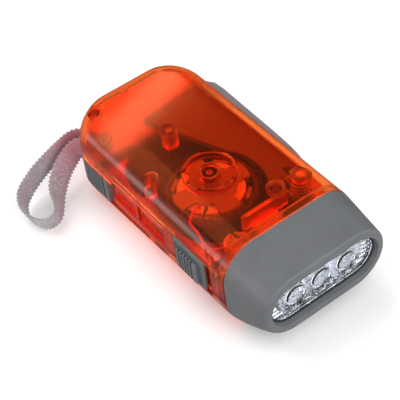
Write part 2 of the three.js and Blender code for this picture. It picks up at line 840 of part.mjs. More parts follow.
function led() {
  const tip = ledFlangeDepth + ledBarrelLength;
  const profile = [
    new THREE.Vector2(0, 0),
    new THREE.Vector2(ledFlangeRadius, 0),
    new THREE.Vector2(ledFlangeRadius, ledFlangeDepth),
    new THREE.Vector2(ledRadius, ledFlangeDepth),
  ];
  for (let step = 0; step <= domeSteps; step += 1) {
    const angle = ((step / domeSteps) * Math.PI) / 2;
    profile.push(new THREE.Vector2(ledRadius * Math.cos(angle), tip + ledRadius * Math.sin(angle)));
  }
  profile[profile.length - 1].x = 0;
  return solid(new THREE.LatheGeometry(profile, rodSides).rotateZ(-Math.PI / 2));
}

// Lever: two plates joined by the grip wall, with the toothed sector on the lower plate
const gripFaceY = sideY + gripStandOut;
const neckLine = neckRadius + gripWall / 2;
const neckEdge = Math.PI - Math.asin((innerY - 2 * fitGap - pivotY) / neckRadius) + openAngle;
const neckAngle = neckEdge + Math.asin(gripWall / 2 / neckRadius);
function leverSpine() {
  const wallY = gripFaceY - gripWall / 2;
  const rearCornerX = pivotX - leverTailRadius + gripWall;
  const tail = (y) => {
    const reach = leverTailRadius - gripWall / 2;
    return new THREE.Vector2(pivotX - Math.sqrt(reach ** 2 - (y - pivotY) ** 2), y);
  };
  const neckShares = [0.4, 0.8, 1];
  const neckEnd = Math.PI - Math.asin((sideY - neckSink - pivotY) / neckLine);
  const neck = neckShares.map((share) => {
    const angle = THREE.MathUtils.lerp(neckAngle, neckEnd, share);
    return fromPivot(neckLine, angle);
  });
  const frontBendShares = [[-1.6, -0.42], [-3.2, -0.2], [-6, -0.06]];
  const rearBendShares = [[2, 0.16], [0.7, 0.08]];
  const tailTurnShare = 0.4;
  const bend = (cornerX, shares) => shares.map(([along, out]) => new THREE.Vector2(
    cornerX + along * gripStandOut,
    wallY + out * gripStandOut,
  ));
  return [
    fromPivot(leverBossRadius / 2, neckAngle),
    fromPivot(neckLine, neckAngle),
    ...neck,
    ...bend(slotEndX, frontBendShares),
    new THREE.Vector2((slotEndX + rearCornerX) / 2, wallY),
    ...bend(rearCornerX, rearBendShares),
    tail(wallY - tailTurnShare * gripStandOut),
    tail(sideY - wall),
    tail(leverBottomReach + latchBarWidth + catchWall),
  ];
}

function leverPlate(innerY0, extra) {
  const spine = leverSpine();
  const reach = leverTailRadius - gripWall / 2;
  const tailInner = new THREE.Vector2(pivotX - Math.sqrt(reach ** 2 - (innerY0 - pivotY) ** 2), innerY0);
  return [...spine.slice(1), tailInner, ...extra, fromPivot(leverBossRadius, neckAngle + Math.PI / 3)];
}

function sector() {
  const toothTurn = (2 * Math.PI) / sectorTeethAround;
  const travelTeeth = Math.ceil(openAngle / toothTurn);
  const outline = [];
  const bandStartY = leverBottomReach + latchBarWidth + 2 * catchWall;
  const bandStart = Math.PI - Math.asin((bandStartY - pivotY) / sectorPitch);
  const rootRadius = sectorPitch - dedendumShare * gearModule;
  const firstTooth = sectorToWheel - sectorSpareTeeth * toothTurn;
  const lastTooth = travelTeeth + 2 * sectorSpareTeeth;
  for (let step = 0; step < bandSteps; step += 1) {
    const angle = bandStart + ((firstTooth - toothTurn / 2 - bandStart) * step) / bandSteps;
    outline.push(new THREE.Vector2(rootRadius * Math.cos(angle), rootRadius * Math.sin(angle)));
  }
  for (let tooth = 0; tooth <= lastTooth; tooth += 1) {
    outline.push(...toothPoints(sectorPitch, firstTooth + tooth * toothTurn));
  }
  const bandEnd = firstTooth + lastTooth * toothTurn + toothTurn / 2;
  const innerRadius = sectorPitch - sectorBandWidth;
  for (let step = 0; step <= sweepSteps; step += 1) {
    const angle = bandEnd - ((bandEnd - bandStart) * step) / sweepSteps;
    outline.push(new THREE.Vector2(innerRadius * Math.cos(angle), innerRadius * Math.sin(angle)));
  }
  const placed = outline.map((point) => point.add(pivot));
  return prism(placed, sectorZ, sectorZ + gearFace);
}

function lever() {
  const tailX = pivotX - leverTailRadius;
  const top = prism(leverPlate(leverTailReach, [
    new THREE.Vector2(flywheelX - leverBendBack, leverBendReach),
    new THREE.Vector2(flywheelX, leverTopReach),
  ]), leverTopZ - leverSkin, leverTopZ);
  const lowerInner = leverBottomReach + latchBarWidth + catchWall;
  const bottom = prism(leverPlate(leverBottomReach - catchWall, [
    new THREE.Vector2(tailX + catchDepth + 2 * catchWall, leverBottomReach - catchWall),
    new THREE.Vector2(wheelX - pitchRadius(wheelTeeth) / 4, lowerInner),
    new THREE.Vector2(wheelX + pitchRadius(wheelTeeth), lowerInner - catchWall),
    new THREE.Vector2(flywheelX, pivotY - leverBossRadius),
  ]), sectorZ, sectorZ + gearFace);
  const wallStrip = prism(strip(leverSpine(), gripWall), sectorZ, leverTopZ);
  const cutRadius = flywheelRadius + wall - fitGap;
  const flywheelRoom = rod(
    cutRadius,
    leverTopZ - 2 * leverSkin,
    leverTopZ + overrun,
    flywheelX,
    flywheelY,
    discSides,
  );
  const notch = slab(
    tailX - overrun,
    tailX + catchDepth,
    latchHookY - latchBarWidth / 2 - 2 * fitGap,
    latchHookY + latchBarWidth / 2 + 2 * fitGap,
    sectorZ - overrun,
    sectorZ + gearFace + fitGap,
  );
  return cut(
    join(
      cut(top, flywheelRoom),
      bottom,
      sector(),
      wallStrip,
      rod(leverBossRadius, sectorZ, leverTopZ, pivotX, pivotY, bowlSides),
    ),
    notch,
    rod(leverPinRadius + runningGap, 0, bodyHeight, pivotX, pivotY),
  );
}

// Return spring: one tube with a straight leg at each end, wound round the lever's pin
function leverSpring() {
  const points = [];
  const bottomZ = leverTopZ + fitGap + springWire / 2;
  const start = Math.PI - springTurns * 2 * Math.PI;
  const legRise = springPitch / springStepsPerTurn;
  const along = (angle) => new THREE.Vector3(-Math.sin(angle), Math.cos(angle), 0);
  const total = Math.round(springTurns * springStepsPerTurn);
  const place = (step) => {
    const angle = start + (step / springStepsPerTurn) * 2 * Math.PI;
    return new THREE.Vector3(
      pivotX + springRadius * Math.cos(angle),
      pivotY + springRadius * Math.sin(angle),
      bottomZ + step * legRise,
    );
  };
  const endAngle = start + springTurns * 2 * Math.PI;
  points.push(place(0).addScaledVector(along(start), -springLegLength));
  points.push(place(0).addScaledVector(along(start), -springLegLength / 2));
  for (let step = 0; step <= total; step += 1) points.push(place(step));
  points.push(place(total).addScaledVector(along(endAngle), springLegLength / 2));
  points.push(place(total).addScaledVector(along(endAngle), springLegLength));
  reportLeastGap('lever_spring', points, springWire, springStepsPerTurn);
  return sweptTube(points, springWire / 2, springSides);
}

// The least distance between parts of a wound tube that lie at least half a turn apart
function reportLeastGap(name, points, diameter, stepsPerTurn) {
  let least = Infinity;
  points.forEach((point, i) => points.forEach((other, j) => {
    if (j - i > stepsPerTurn / 2) least = Math.min(least, point.distanceTo(other));
  }));
  console.log(`${name}: least gap to itself ${(least - diameter).toFixed(2)} mm`);
}

// A round tube whose rings stand square to a line of points
function sweptTube(points, radius, sides) {
  const up = new THREE.Vector3(0, 0, 1);
  const rings = points.map((point, i) => {
    const before = points[Math.max(i - 1, 0)];
    const after = points[Math.min(i + 1, points.length - 1)];
    const along = after.clone().sub(before).normalize();
    const across = new THREE.Vector3().crossVectors(along, up).normalize();
    const over = new THREE.Vector3().crossVectors(across, along);
    return Array.from({ length: sides }, (_, side) => {
      const angle = (side / sides) * 2 * Math.PI;
      return point.clone()
        .addScaledVector(across, radius * Math.cos(angle))
        .addScaledVector(over, radius * Math.sin(angle));
    });
  });
  return sweptRings(rings);
}

// Rings joined end to end, closed by a fan at each end
function sweptRings(rings) {
  const sides = rings[0].length;
  const positions = rings.flat().flatMap((point) => point.toArray());
  const indices = [];
  for (let row = 0; row + 1 < rings.length; row += 1) {
    for (let side = 0; side < sides; side += 1) {
      const a = row * sides + side;
      const b = row * sides + ((side + 1) % sides);
      indices.push(a, b, b + sides, a, b + sides, a + sides);
    }
  }
  for (let side = 1; side + 1 < sides; side += 1) {
    const last = (rings.length - 1) * sides;
    indices.push(0, side + 1, side, last, last + side, last + side + 1);
  }
  const skin = new THREE.BufferGeometry();
  skin.setAttribute('position', new THREE.Float32BufferAttribute(positions, 3));
  skin.setIndex(indices);
  return solid(skin);
}

// Lock latch: a ribbed plate that follows the rear corner, and a bar that reaches the lever's catch
function lockLatch() {
  const window = slab(
    latchRearX,
    latchFrontX,
    -(sideY + overrun),
    -(sideY - rearCornerRadius / 2),
    latchBottomZ,
    latchTopZ,
  );
  const plate = common(cut(casingForm(-latchProud), casingForm(wall)), window);
  const outside = -(sideY + overrun);
  const grooves = [];
  const faceY = -(sideY + latchProud);
  const stopX = latchFrontX - 2 * latchStopGroove;
  grooves.push(slab(
    stopX - latchStopGroove,
    stopX,
    outside,
    faceY + 2 * latchGrooveDepth,
    latchBottomZ - overrun,
    latchTopZ + overrun,
  ));
  for (let i = 1; i <= latchGrooves; i += 1) {
    const x = stopX - latchStopGroove - i * latchGroovePitch;
    const away = Math.max(0, rearX + rearCornerRadius - x);
    const sinkY = rearCornerRadius - Math.sqrt(rearCornerRadius ** 2 - away ** 2);
    grooves.push(slab(
      x,
      x + latchGrooveWidth,
      outside,
      faceY + latchGrooveDepth + sinkY,
      latchBottomZ - overrun,
      latchTopZ + overrun,
    ));
  }
  const barStartY = -innerY + wall;
  const barLine = [
    new THREE.Vector2(latchBarX, barStartY),
    new THREE.Vector2(latchBarX, flywheelY),
    new THREE.Vector2(latchBarX, latchBarBendY),
    new THREE.Vector2(latchHookX, latchHookY - latchHookRun),
    new THREE.Vector2(latchHookX, latchHookY),
  ];
  const barTopZ = latchBarBottomZ + latchBarHeight;
  const latchBar = prism(strip(barLine, latchBarWidth), latchBarBottomZ, barTopZ);
  const hook = slab(
    latchHookX - latchBarWidth / 2,
    pivotX - leverTailRadius - latchHookGap,
    latchHookY - latchBarWidth / 2,
    latchHookY + latchBarWidth / 2,
    latchBarBottomZ,
    barTopZ,
  );
  const arm = slab(
    latchBarX - latchBarWidth / 2,
    latchBarX + latchBarWidth / 2,
    -innerY - wall / 2,
    -innerY + 2 * wall,
    latchBottomZ,
    barTopZ,
  );
  return join(cut(plate, ...grooves), latchBar, hook, arm);
}

function switchSlider() {
  const outerY = plateFaceY;
  const plate = slab(
    switchPlateRearX,
    switchPlateRearX + switchPlateLength,
    outerY + switchPlateSink,
    outerY + switchPocketDepth - fitGap,
    switchPlateBottomZ,
    switchPlateTopZ,
  );
  const knobRearX = switchPlateRearX + switchKnobInset;
  const knobFaceY = outerY - switchKnobProud;
  const knob = slab(
    knobRearX,
    knobRearX + switchKnobLength,
    knobFaceY,
    outerY + wall / 2,
    switchKnobBottomZ,
    switchKnobBottomZ + switchKnobHeight,
  );
  const grooves = Array.from({ length: switchGrooves }, (_, i) => {
    const x = knobRearX + switchKnobLength / 2 + (i - (switchGrooves - 1) / 2) * switchGroovePitch;
    return slab(
      x - switchGrooveWidth / 2,
      x + switchGrooveWidth / 2,
      knobFaceY - overrun,
      knobFaceY + switchGrooveDepth,
      switchKnobBottomZ - overrun,
      switchKnobBottomZ + switchKnobHeight + overrun,
    );
  });
  const stem = slab(
    switchStemX,
    switchStemX + switchStemLength,
    outerY,
    -innerY + fitGap,
    switchStemBottomZ,
    switchStemBottomZ + switchStemHeight,
  );
  return join(cut(join(plate, knob), ...grooves), stem);
}

function switchBody() {
  const faceY = -innerY + 2 * fitGap;
  return slab(
    switchBodyRearX,
    switchBodyRearX + switchBodyLength,
    faceY,
    faceY + switchBodyDepth,
    switchBodyBottomZ,
    switchBodyBottomZ + switchBodyHeight,
  );
}

// One half of the claw-pole stator: a plate with four arms whose tips bend over
function clawPlate(plateZ, clawZ0, clawZ1, turn) {
  const pieces = [rod(ringBossRadius - ringBossWall, plateZ, plateZ + clawThickness, 0, 0, bowlSides)];
  const lowest = Math.min(clawZ0, plateZ) - overrun;
  const highest = Math.max(clawZ1, plateZ) + 2 * overrun;
  const edge = rod(clawRadius, lowest, highest, 0, 0, discSides);
  for (let arm = 0; arm < 4; arm += 1) {
    const angle = turn + (arm * Math.PI) / 2;
    const along = new THREE.Vector2(Math.cos(angle), Math.sin(angle));
    const across = new THREE.Vector2(-along.y, along.x);
    const spot = (reach, side) => along.clone().multiplyScalar(reach).addScaledVector(across, side);
    const tip = clawWidth / 2;
    const neck = tip * clawNeckShare;
    const clawHalf = tip * clawTipShare;
    const outer = clawRadius + overrun;
    const clawInner = clawRadius - clawTipDepth;
    const wedge = (inner, innerHalf, outerHalf) => [
      spot(inner, -innerHalf),
      spot(outer, -outerHalf),
      spot(outer, outerHalf),
      spot(inner, innerHalf),
    ];
    const armShape = wedge(statorCoreRadius, neck, tip);
    const claw = wedge(clawInner, clawHalf, clawHalf);
    pieces.push(prism(armShape, plateZ, plateZ + clawThickness), prism(claw, clawZ0, clawZ1));
  }
  const whole = common(join(...pieces), edge);
  return cut(whole, rod(statorCoreRadius + fitGap, 0, bodyHeight, 0, 0));
}

// The stator's steel core stands in the upper plate and reaches up to the bearing under the roof
function upperClawPlate(plateZ, turn) {
  const plate = clawPlate(plateZ, plateZ - clawLength + clawThickness, plateZ + clawThickness, turn);
  const collarRadius = statorCoreRadius + 2 * fitGap;
  const coreTopZ = pinTopZ - rotorBearingLength - fitGap;
  return cut(
    join(
      plate,
      rod(collarRadius, plateZ, plateZ + clawThickness, 0, 0),
      rod(statorCoreRadius, clawPlateBottomZ, coreTopZ, 0, 0),
    ),
    rod(rotorAxleRadius + runningGap, 0, bodyHeight, 0, 0),
  );
}

function rotorBearing() {
  return spun(ringProfile(
    rotorAxleRadius + runningGap,
    rotorBearingRadius,
    pinTopZ - rotorBearingLength,
    pinTopZ,
  ), 0, 0);
}

function bobbin() {
  const bottom = clawPlateBottomZ + clawThickness + fitGap;
  const top = clawPlateTopZ - clawThickness - fitGap;
  const bore = statorCoreRadius + fitGap;
  const tubeRadius = bore + bobbinTubeWall;
  return spun([
    [bore, bottom],
    [bobbinRadius, bottom],
    [bobbinRadius, bottom + bobbinFlange],
    [tubeRadius, bottom + bobbinFlange],
    [tubeRadius, top - bobbinFlange],
    [bobbinRadius, top - bobbinFlange],
    [bobbinRadius, top],
    [bore, top],
  ], 0, 0);
}

function winding() {
  const bottom = clawPlateBottomZ + clawThickness + bobbinFlange + 2 * fitGap;
  const top = clawPlateTopZ - clawThickness - bobbinFlange - 2 * fitGap;
  const inner = statorCoreRadius + bobbinTubeWall + 2 * fitGap;
  return spun(ringProfile(inner, windingRadius, bottom, top), 0, 0);
}

function flywheel() {
  const hubTop = flywheelDiscZ + flywheelDiscThickness + flywheelHubRise;
  const cup = spun([
    [0, flywheelDiscZ],
    [flywheelRadius, flywheelDiscZ],
    [flywheelRadius, flywheelRimTopZ],
    [flywheelRadius - flywheelRimWall, flywheelRimTopZ],
    [flywheelRadius - flywheelRimWall, flywheelDiscZ + flywheelDiscThickness],
    [flywheelHubRadius, flywheelDiscZ + flywheelDiscThickness],
    [flywheelHubRadius, hubTop],
    [0, hubTop],
  ], 0, 0);
  return cut(
    join(
      cup,
      gear(flywheelTeeth, flywheelPhase, wheelZ, gearTop),
      rod(flywheelHubRadius, wheelZ + gearFace / 2, flywheelDiscZ + flywheelDiscThickness / 2, 0, 0),
    ),
    rod(rotorAxleRadius + runningGap, 0, bodyHeight, 0, 0),
  );
}

function magnetRing() {
  const outer = flywheelRadius - flywheelRimWall - fitGap;
  const bottom = flywheelDiscZ + flywheelDiscThickness + fitGap;
  return spun(ringProfile(outer - magnetWall, outer, bottom, bottom + magnetHeight), 0, 0);
}

// Wheel and pinion share the ratchet hub: the pinion's spigot stands in the wheel's bore
const ratchetHubRadius = 3;
function driveWheel() {
  return cut(
    gear(wheelTeeth, 0, wheelZ, gearTop),
    rod(ratchetHubRadius + fitGap, wheelZ - overrun, wheelZ + gearFace / 2, 0, 0),
    rod(gearAxleRadius + runningGap, 0, bodyHeight, 0, 0),
  );
}
function ratchetPinion() {
  return cut(
    join(
      gear(pinionTeeth, pinionPhase, sectorZ, sectorZ + gearFace),
      rod(ratchetHubRadius, sectorZ + gearFace / 2, wheelZ + gearFace / 2 - fitGap, 0, 0),
    ),
    rod(gearAxleRadius + runningGap, 0, bodyHeight, 0, 0),
  );
}
function idlerGear() {
  return cut(
    gear(idlerTeeth, idlerPhase, wheelZ, gearTop),
    rod(gearAxleRadius + runningGap, 0, bodyHeight, 0, 0),
  );
}

function screw() {
  const headTop = screwSeatZ - fitGap;
  return solid(new THREE.LatheGeometry([
    new THREE.Vector2(0, headTop - screwHeadHeight),
    new THREE.Vector2(screwHeadRadius, headTop - screwHeadHeight * screwRimShare),
    new THREE.Vector2(screwHeadRadius, headTop),
    new THREE.Vector2(screwRadius, headTop),
    new THREE.Vector2(screwRadius, screwTipZ - 2 * screwRadius),
    new THREE.Vector2(0, screwTipZ),
  ], rodSides).rotateX(Math.PI / 2));
}

// Board parts stand on the rear of the board
function ledBoard() {
  return slab(
    boardRearX,
    boardFrontX,
    -boardHalfWidth,
    boardHalfWidth,
    rimCentreZ - boardHalfHeight,
    rimCentreZ + boardHalfHeight,
  );
}
function rectifierBridge() {
  const top = rimCentreZ - boardHalfHeight / 4;
  return slab(
    boardRearX - fitGap - bridgeDepth,
    boardRearX - fitGap,
    bridgeY - bridgeLength / 2,
    bridgeY + bridgeLength / 2,
    top - bridgeHeight,
    top,
  );
}

// Leads: from the coil over the flywheel's rim to the switch, and from the switch and coil to the board
const leadRiseZ = clawPlateTopZ + 2 * leadRadius;
const leadOverZ = flywheelRimTopZ + 5 * leadRadius;
function coilSpot(angle) {
  return new THREE.Vector2(bobbinRadius - 2 * leadRadius, 0)
    .rotateAround(new THREE.Vector2(), angle)
    .add(flywheelCentre);
}
const diagonal = THREE.MathUtils.degToRad(clawTurnDegrees) - Math.PI / 4;
const coilTopZ = clawPlateTopZ - clawThickness - fitGap;
const boardTopZ = rimCentreZ + boardHalfHeight;
const switchTopZ = switchBodyBottomZ + switchBodyHeight;
function coilLead(offset, sagZ, ends) {
  const spot = coilSpot(diagonal + offset);
  const outward = spot.clone().sub(flywheelCentre).normalize();
  const rimSpot = spot.clone().addScaledVector(outward, flywheelRadius - bobbinRadius + wall);
  return [
    new THREE.Vector3(spot.x, spot.y, coilTopZ + fitGap),
    new THREE.Vector3(spot.x, spot.y, leadRiseZ),
    new THREE.Vector3((spot.x + rimSpot.x) / 2, (spot.y + rimSpot.y) / 2, leadOverZ + leadRadius),
    new THREE.Vector3(rimSpot.x, rimSpot.y, leadOverZ),
    new THREE.Vector3((rimSpot.x + ends[0].x) / 2, (rimSpot.y + ends[0].y) / 2, sagZ),
    ...ends,
  ];
}

// Wrist strap's route, chosen by hand: x, y, z of the centre line and the lean of its width from upright
const strapRoute = [
  [-43.0, -15.3, 16.5, 0],
  [-43.9, -13.3, 16.5, 0],
  [-46.0, -12.6, 16.5, 0],
  [-48.6, -14.2, 16.5, 0],
  [-51.4, -17.2, 16.6, 0],
  [-54.2, -19.8, 16.4, -2],
  [-55.5, -22.9, 15.7, -4],
  [-55.5, -27.0, 14.6, -5],
  [-55.3, -31.6, 13.0, -6],
  [-55.1, -35.9, 11.1, -8],
  [-54.8, -39.8, 9.0, -10],
  [-53.8, -43.7, 7.0, -14],
  [-51.9, -46.7, 5.5, -18],
  [-48.4, -48.5, 4.6, -20],
  [-44.5, -48.8, 4.2, -20],
  [-41.1, -48.0, 4.2, -20],
  [-38.6, -46.6, 4.2, -18],
  [-37.5, -44.3, 4.2, -12],
  [-38.3, -41.6, 4.4, 0],
  [-40.5, -39.4, 4.7, 14],
  [-43.8, -37.5, 5.4, 28],
  [-46.6, -35.5, 6.8, 38],
  [-48.7, -32.9, 8.8, 42],
  [-50.2, -29.9, 11.0, 38],
  [-50.8, -26.7, 13.2, 30],
  [-50.9, -23.7, 15.0, 18],
  [-49.6, -21.4, 16.4, 6],
  [-48.0, -19.4, 16.5, 0],
  [-45.4, -18.6, 16.5, 0],
  [-43.3, -16.6, 16.5, 0],
];
function wristStrap() {
  const centre = new THREE.CatmullRomCurve3(strapRoute.map(([x, y, z]) => new THREE.Vector3(x, y, z)));
  const lean = new THREE.CatmullRomCurve3(strapRoute.map((row, i) => new THREE.Vector3(i, row[3], 0)));
  const edge = strapThickness / 4;
  const halfWidth = strapWidth / 2;
  const halfThick = strapThickness / 2;
  const section = [
    [halfWidth, halfThick - edge], [halfWidth - edge, halfThick],
    [edge - halfWidth, halfThick], [-halfWidth, halfThick - edge],
    [-halfWidth, edge - halfThick], [edge - halfWidth, -halfThick],
    [halfWidth - edge, -halfThick], [halfWidth, edge - halfThick],
  ];
  const rings = [];
  for (let step = 0; step <= strapSteps; step += 1) {
    const share = step / strapSteps;
    const point = centre.getPoint(share);
    const along = centre.getTangent(share);
    const side = new THREE.Vector3(along.y, -along.x, 0).normalize();
    const tilt = THREE.MathUtils.degToRad(lean.getPoint(share).y);
    const upright = new THREE.Vector3().crossVectors(side, along).normalize();
    const width = upright.clone().multiplyScalar(Math.cos(tilt)).addScaledVector(side, -Math.sin(tilt));
    const thickness = new THREE.Vector3().crossVectors(along, width).normalize();
    rings.push(section.map(([across, through]) => point.clone()
      .addScaledVector(width, across)
      .addScaledVector(thickness, through)));
  }
  return sweptRings(rings);
}

// The assembly: one named mesh for each sub-part
const torch = new THREE.Group();
function add(name, piece, material, x = 0, y = 0, z = 0, parent = torch) {
  const { vertProperties, triVerts } = piece.getMesh();
  const geometry = new THREE.BufferGeometry();
  geometry.setAttribute('position', new THREE.BufferAttribute(new Float32Array(vertProperties), 3));
  geometry.setIndex(new THREE.BufferAttribute(new Uint32Array(triVerts), 1));
  const mesh = new THREE.Mesh(geometry, material);
  mesh.name = name;
  mesh.position.set(x, y, z);
  parent.add(mesh);
}

const casingGroup = new THREE.Group();
torch.add(casingGroup);
add('top_shell', topShell(), redShell, 0, 0, 0, casingGroup);
add('bottom_shell', bottomShell(), redShell, 0, 0, 0, casingGroup);
add('bezel', bezel(), greyPlastic, 0, 0, 0, casingGroup);
screwPlaces.forEach(([x, y], i) => add(`screw_${i + 1}`, screw(), steel, x, y, 0, casingGroup));

const lightGroup = new THREE.Group();
torch.add(lightGroup);
add('lens', lens(), clearPlastic, 0, 0, 0, lightGroup);
add('reflector', reflector(), chromePlastic, 0, 0, 0, lightGroup);
[-ledPitch, 0, ledPitch].forEach((y, i) => {
  add(`led_${i + 1}`, led(), clearPlastic, boardFrontX + boardToLed, y, rimCentreZ, lightGroup);
});
add('led_board', ledBoard(), boardGreen, 0, 0, 0, lightGroup);
add('rectifier_bridge', rectifierBridge(), blackPlastic, 0, 0, 0, lightGroup);
add('capacitor', rod(
  capacitorRadius,
  capacitorSeatZ + fitGap,
  capacitorSeatZ + fitGap + capacitorHeight,
  capacitorX,
  capacitorY,
), whitePlastic, 0, 0, 0, lightGroup);
add('rechargeable_cell', rodY(
  cellRadius,
  cellRearY,
  cellRearY + cellLength,
  cellX,
  cellZ,
  bowlSides,
), cellSleeve, 0, 0, 0, lightGroup);
add('switch_body', switchBody(), whitePlastic, 0, 0, 0, lightGroup);
add('switch_slider', switchSlider(), greyPlastic, 0, 0, 0, lightGroup);

const driveGroup = new THREE.Group();
torch.add(driveGroup);
add('lever', lever(), greyPlastic, 0, 0, 0, driveGroup);
add('lever_pin', rod(leverPinRadius, axleFootZ, pinTopZ, pivotX, pivotY), steel, 0, 0, 0, driveGroup);
add('lever_spring', leverSpring(), steel, 0, 0, 0, driveGroup);
add('lock_latch', lockLatch(), greyPlastic, 0, 0, 0, driveGroup);
add('ratchet_pinion', ratchetPinion(), whitePlastic, wheelX, wheelY, 0, driveGroup);
add('drive_wheel', driveWheel(), blackPlastic, wheelX, wheelY, 0, driveGroup);
add('drive_axle', rod(gearAxleRadius, axleFootZ, pinTopZ, wheelX, wheelY), steel, 0, 0, 0, driveGroup);
add('idler_gear', idlerGear(), whitePlastic, idlerCentre.x, idlerCentre.y, 0, driveGroup);
add('idler_axle', rod(
  gearAxleRadius,
  axleFootZ,
  gearTop + fitGap,
  idlerCentre.x,
  idlerCentre.y,
), steel, 0, 0, 0, driveGroup);

const generatorGroup = new THREE.Group();
generatorGroup.position.set(flywheelX, flywheelY, 0);
torch.add(generatorGroup);
const clawTurn = THREE.MathUtils.degToRad(clawTurnDegrees);
const upperPlateZ = clawPlateTopZ - clawThickness;
add('flywheel', flywheel(), blackPlastic, 0, 0, 0, generatorGroup);
add('magnet_ring', magnetRing(), ferrite, 0, 0, 0, generatorGroup);
add('rotor_axle', rod(rotorAxleRadius, axleFootZ, pinTopZ, 0, 0), steel, 0, 0, 0, generatorGroup);
add('upper_claw_plate', upperClawPlate(upperPlateZ, clawTurn), steel, 0, 0, 0, generatorGroup);
add('rotor_bearing', rotorBearing(), blackPlastic, 0, 0, 0, generatorGroup);
add('lower_claw_plate', clawPlate(
  clawPlateBottomZ,
  clawPlateBottomZ,
  clawPlateBottomZ + clawLength,
  clawTurn + Math.PI / 4,
), steel, 0, 0, 0, generatorGroup);
add('coil_bobbin', bobbin(), whitePlastic, 0, 0, 0, generatorGroup);
add('coil_winding', winding(), copper, 0, 0, 0, generatorGroup);

const leadGroup = new THREE.Group();
torch.add(leadGroup);
const vectorTube = (points) => tube(points, leadRadius, leadSides, leadSteps);
const switchLeadX = switchBodyRearX + switchBodyLength / 2;
const switchLeadY = -innerY + 2 * fitGap + switchBodyDepth / 2;
const boardLeadY = -boardHalfWidth * coilLeadShare;
const switchLeadEndY = -boardHalfWidth * switchLeadShare;
const leadSpread = THREE.MathUtils.degToRad(leadSpreadDegrees);
const boardLeadZ = boardTopZ - 2 * wall;
const boardLeadX = boardRearX - fitGap;
add('coil_lead_a', vectorTube(coilLead(-leadSpread, leadOverZ - leadRadius, [
  new THREE.Vector3(switchLeadX, switchLeadY, switchTopZ + 2 * wall),
  new THREE.Vector3(switchLeadX, switchLeadY, switchTopZ + fitGap),
])), redWire, 0, 0, 0, leadGroup);
add('coil_lead_b', vectorTube(coilLead(leadSpread, leadOverZ, [
  new THREE.Vector3(boardLeadX - 2 * wall, boardLeadY, boardLeadZ + leadRadius),
  new THREE.Vector3(boardLeadX, boardLeadY, boardLeadZ),
])), blackWire, 0, 0, 0, leadGroup);
add('switch_lead', vectorTube([
  new THREE.Vector3(switchLeadX + 2 * leadRadius + wall, switchLeadY, switchTopZ + fitGap),
  new THREE.Vector3(switchLeadX + 2 * leadRadius + wall, switchLeadY, switchTopZ + 2 * wall),
  new THREE.Vector3(boardLeadX - 2 * wall, switchLeadEndY, boardLeadZ + leadRadius),
  new THREE.Vector3(boardLeadX, switchLeadEndY, boardLeadZ),
]), redWire, 0, 0, 0, leadGroup);

add('wrist_strap', wristStrap(), webbing);

export default torch;
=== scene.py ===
import json
from contextlib import contextmanager
from math import copysign, cos, floor, pi, radians, sin, sqrt, tau

import bmesh
import bpy
from mathutils import Matrix, Vector
from mathutils.bvhtree import BVHTree


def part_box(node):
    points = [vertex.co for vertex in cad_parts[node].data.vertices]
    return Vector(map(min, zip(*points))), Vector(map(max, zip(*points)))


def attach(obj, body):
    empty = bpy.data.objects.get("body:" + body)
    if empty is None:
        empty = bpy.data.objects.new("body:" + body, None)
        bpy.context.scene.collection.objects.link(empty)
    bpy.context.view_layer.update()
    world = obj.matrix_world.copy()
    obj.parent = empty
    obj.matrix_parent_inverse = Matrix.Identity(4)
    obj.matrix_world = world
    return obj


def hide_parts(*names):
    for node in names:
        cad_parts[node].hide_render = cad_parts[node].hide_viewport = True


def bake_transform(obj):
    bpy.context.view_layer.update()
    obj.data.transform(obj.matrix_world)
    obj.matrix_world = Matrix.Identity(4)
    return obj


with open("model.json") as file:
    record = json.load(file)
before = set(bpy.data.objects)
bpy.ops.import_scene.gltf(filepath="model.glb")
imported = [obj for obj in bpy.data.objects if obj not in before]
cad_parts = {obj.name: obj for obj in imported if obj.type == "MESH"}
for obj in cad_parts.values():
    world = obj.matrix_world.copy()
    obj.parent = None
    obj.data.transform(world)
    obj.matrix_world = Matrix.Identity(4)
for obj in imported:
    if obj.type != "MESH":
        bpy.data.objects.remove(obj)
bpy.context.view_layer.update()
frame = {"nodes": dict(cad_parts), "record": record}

# A hand-press dynamo flashlight. Lengths are in millimetres, in the model's own frame, and MM turns
# them into Blender's metres. Each dressed piece stands for the node that it is named after.
MM = 0.001

# Photograph's view
camera_azimuth, camera_elevation, camera_roll = 57.54, 46.24, -7.17
camera_distance = 412.37
camera_target = Vector((1.5, 0, 16.62))
image_pixels = 400
focal_pixels = 1266.2
target_pixel = (221.75, 195.0)
sensor_width = 36
camera_near = 0.01


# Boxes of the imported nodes, in millimetres
def low(node):
    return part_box(node)[0] / MM


def high(node):
    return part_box(node)[1] / MM


rear_x = low("bottom_shell").x
joint_x = low("bezel").x
front_x = high("bezel").x
side_y = high("bezel").y
body_height = high("top_shell").z
parting_z = high("bottom_shell").z

# Casing
wall = 2
edge_radius = 12
rear_bottom_radius = 7.8
rear_corner_radius = 13
rear_edge_radius = 7.4
rear_crown = 1
rear_face_shares = (0.7, 0.4, 0.1)
fit_gap = 0.3
overrun = 1
joint_chamfer = 0.3
corner_steps = 14
rear_steps = 20
round_sides = 48
roof_z = body_height - wall
outside_y = side_y + overrun
far = 200
everywhere = ((-far, far), (-far, far))

# Centres in plan
lever_pivot = (22.9, 16.1)
wheel_centre = (-21.1, -2.9)
rotor_centre = (3.0, -4.4)
idler_centre = (-1.0652, 5.1726)

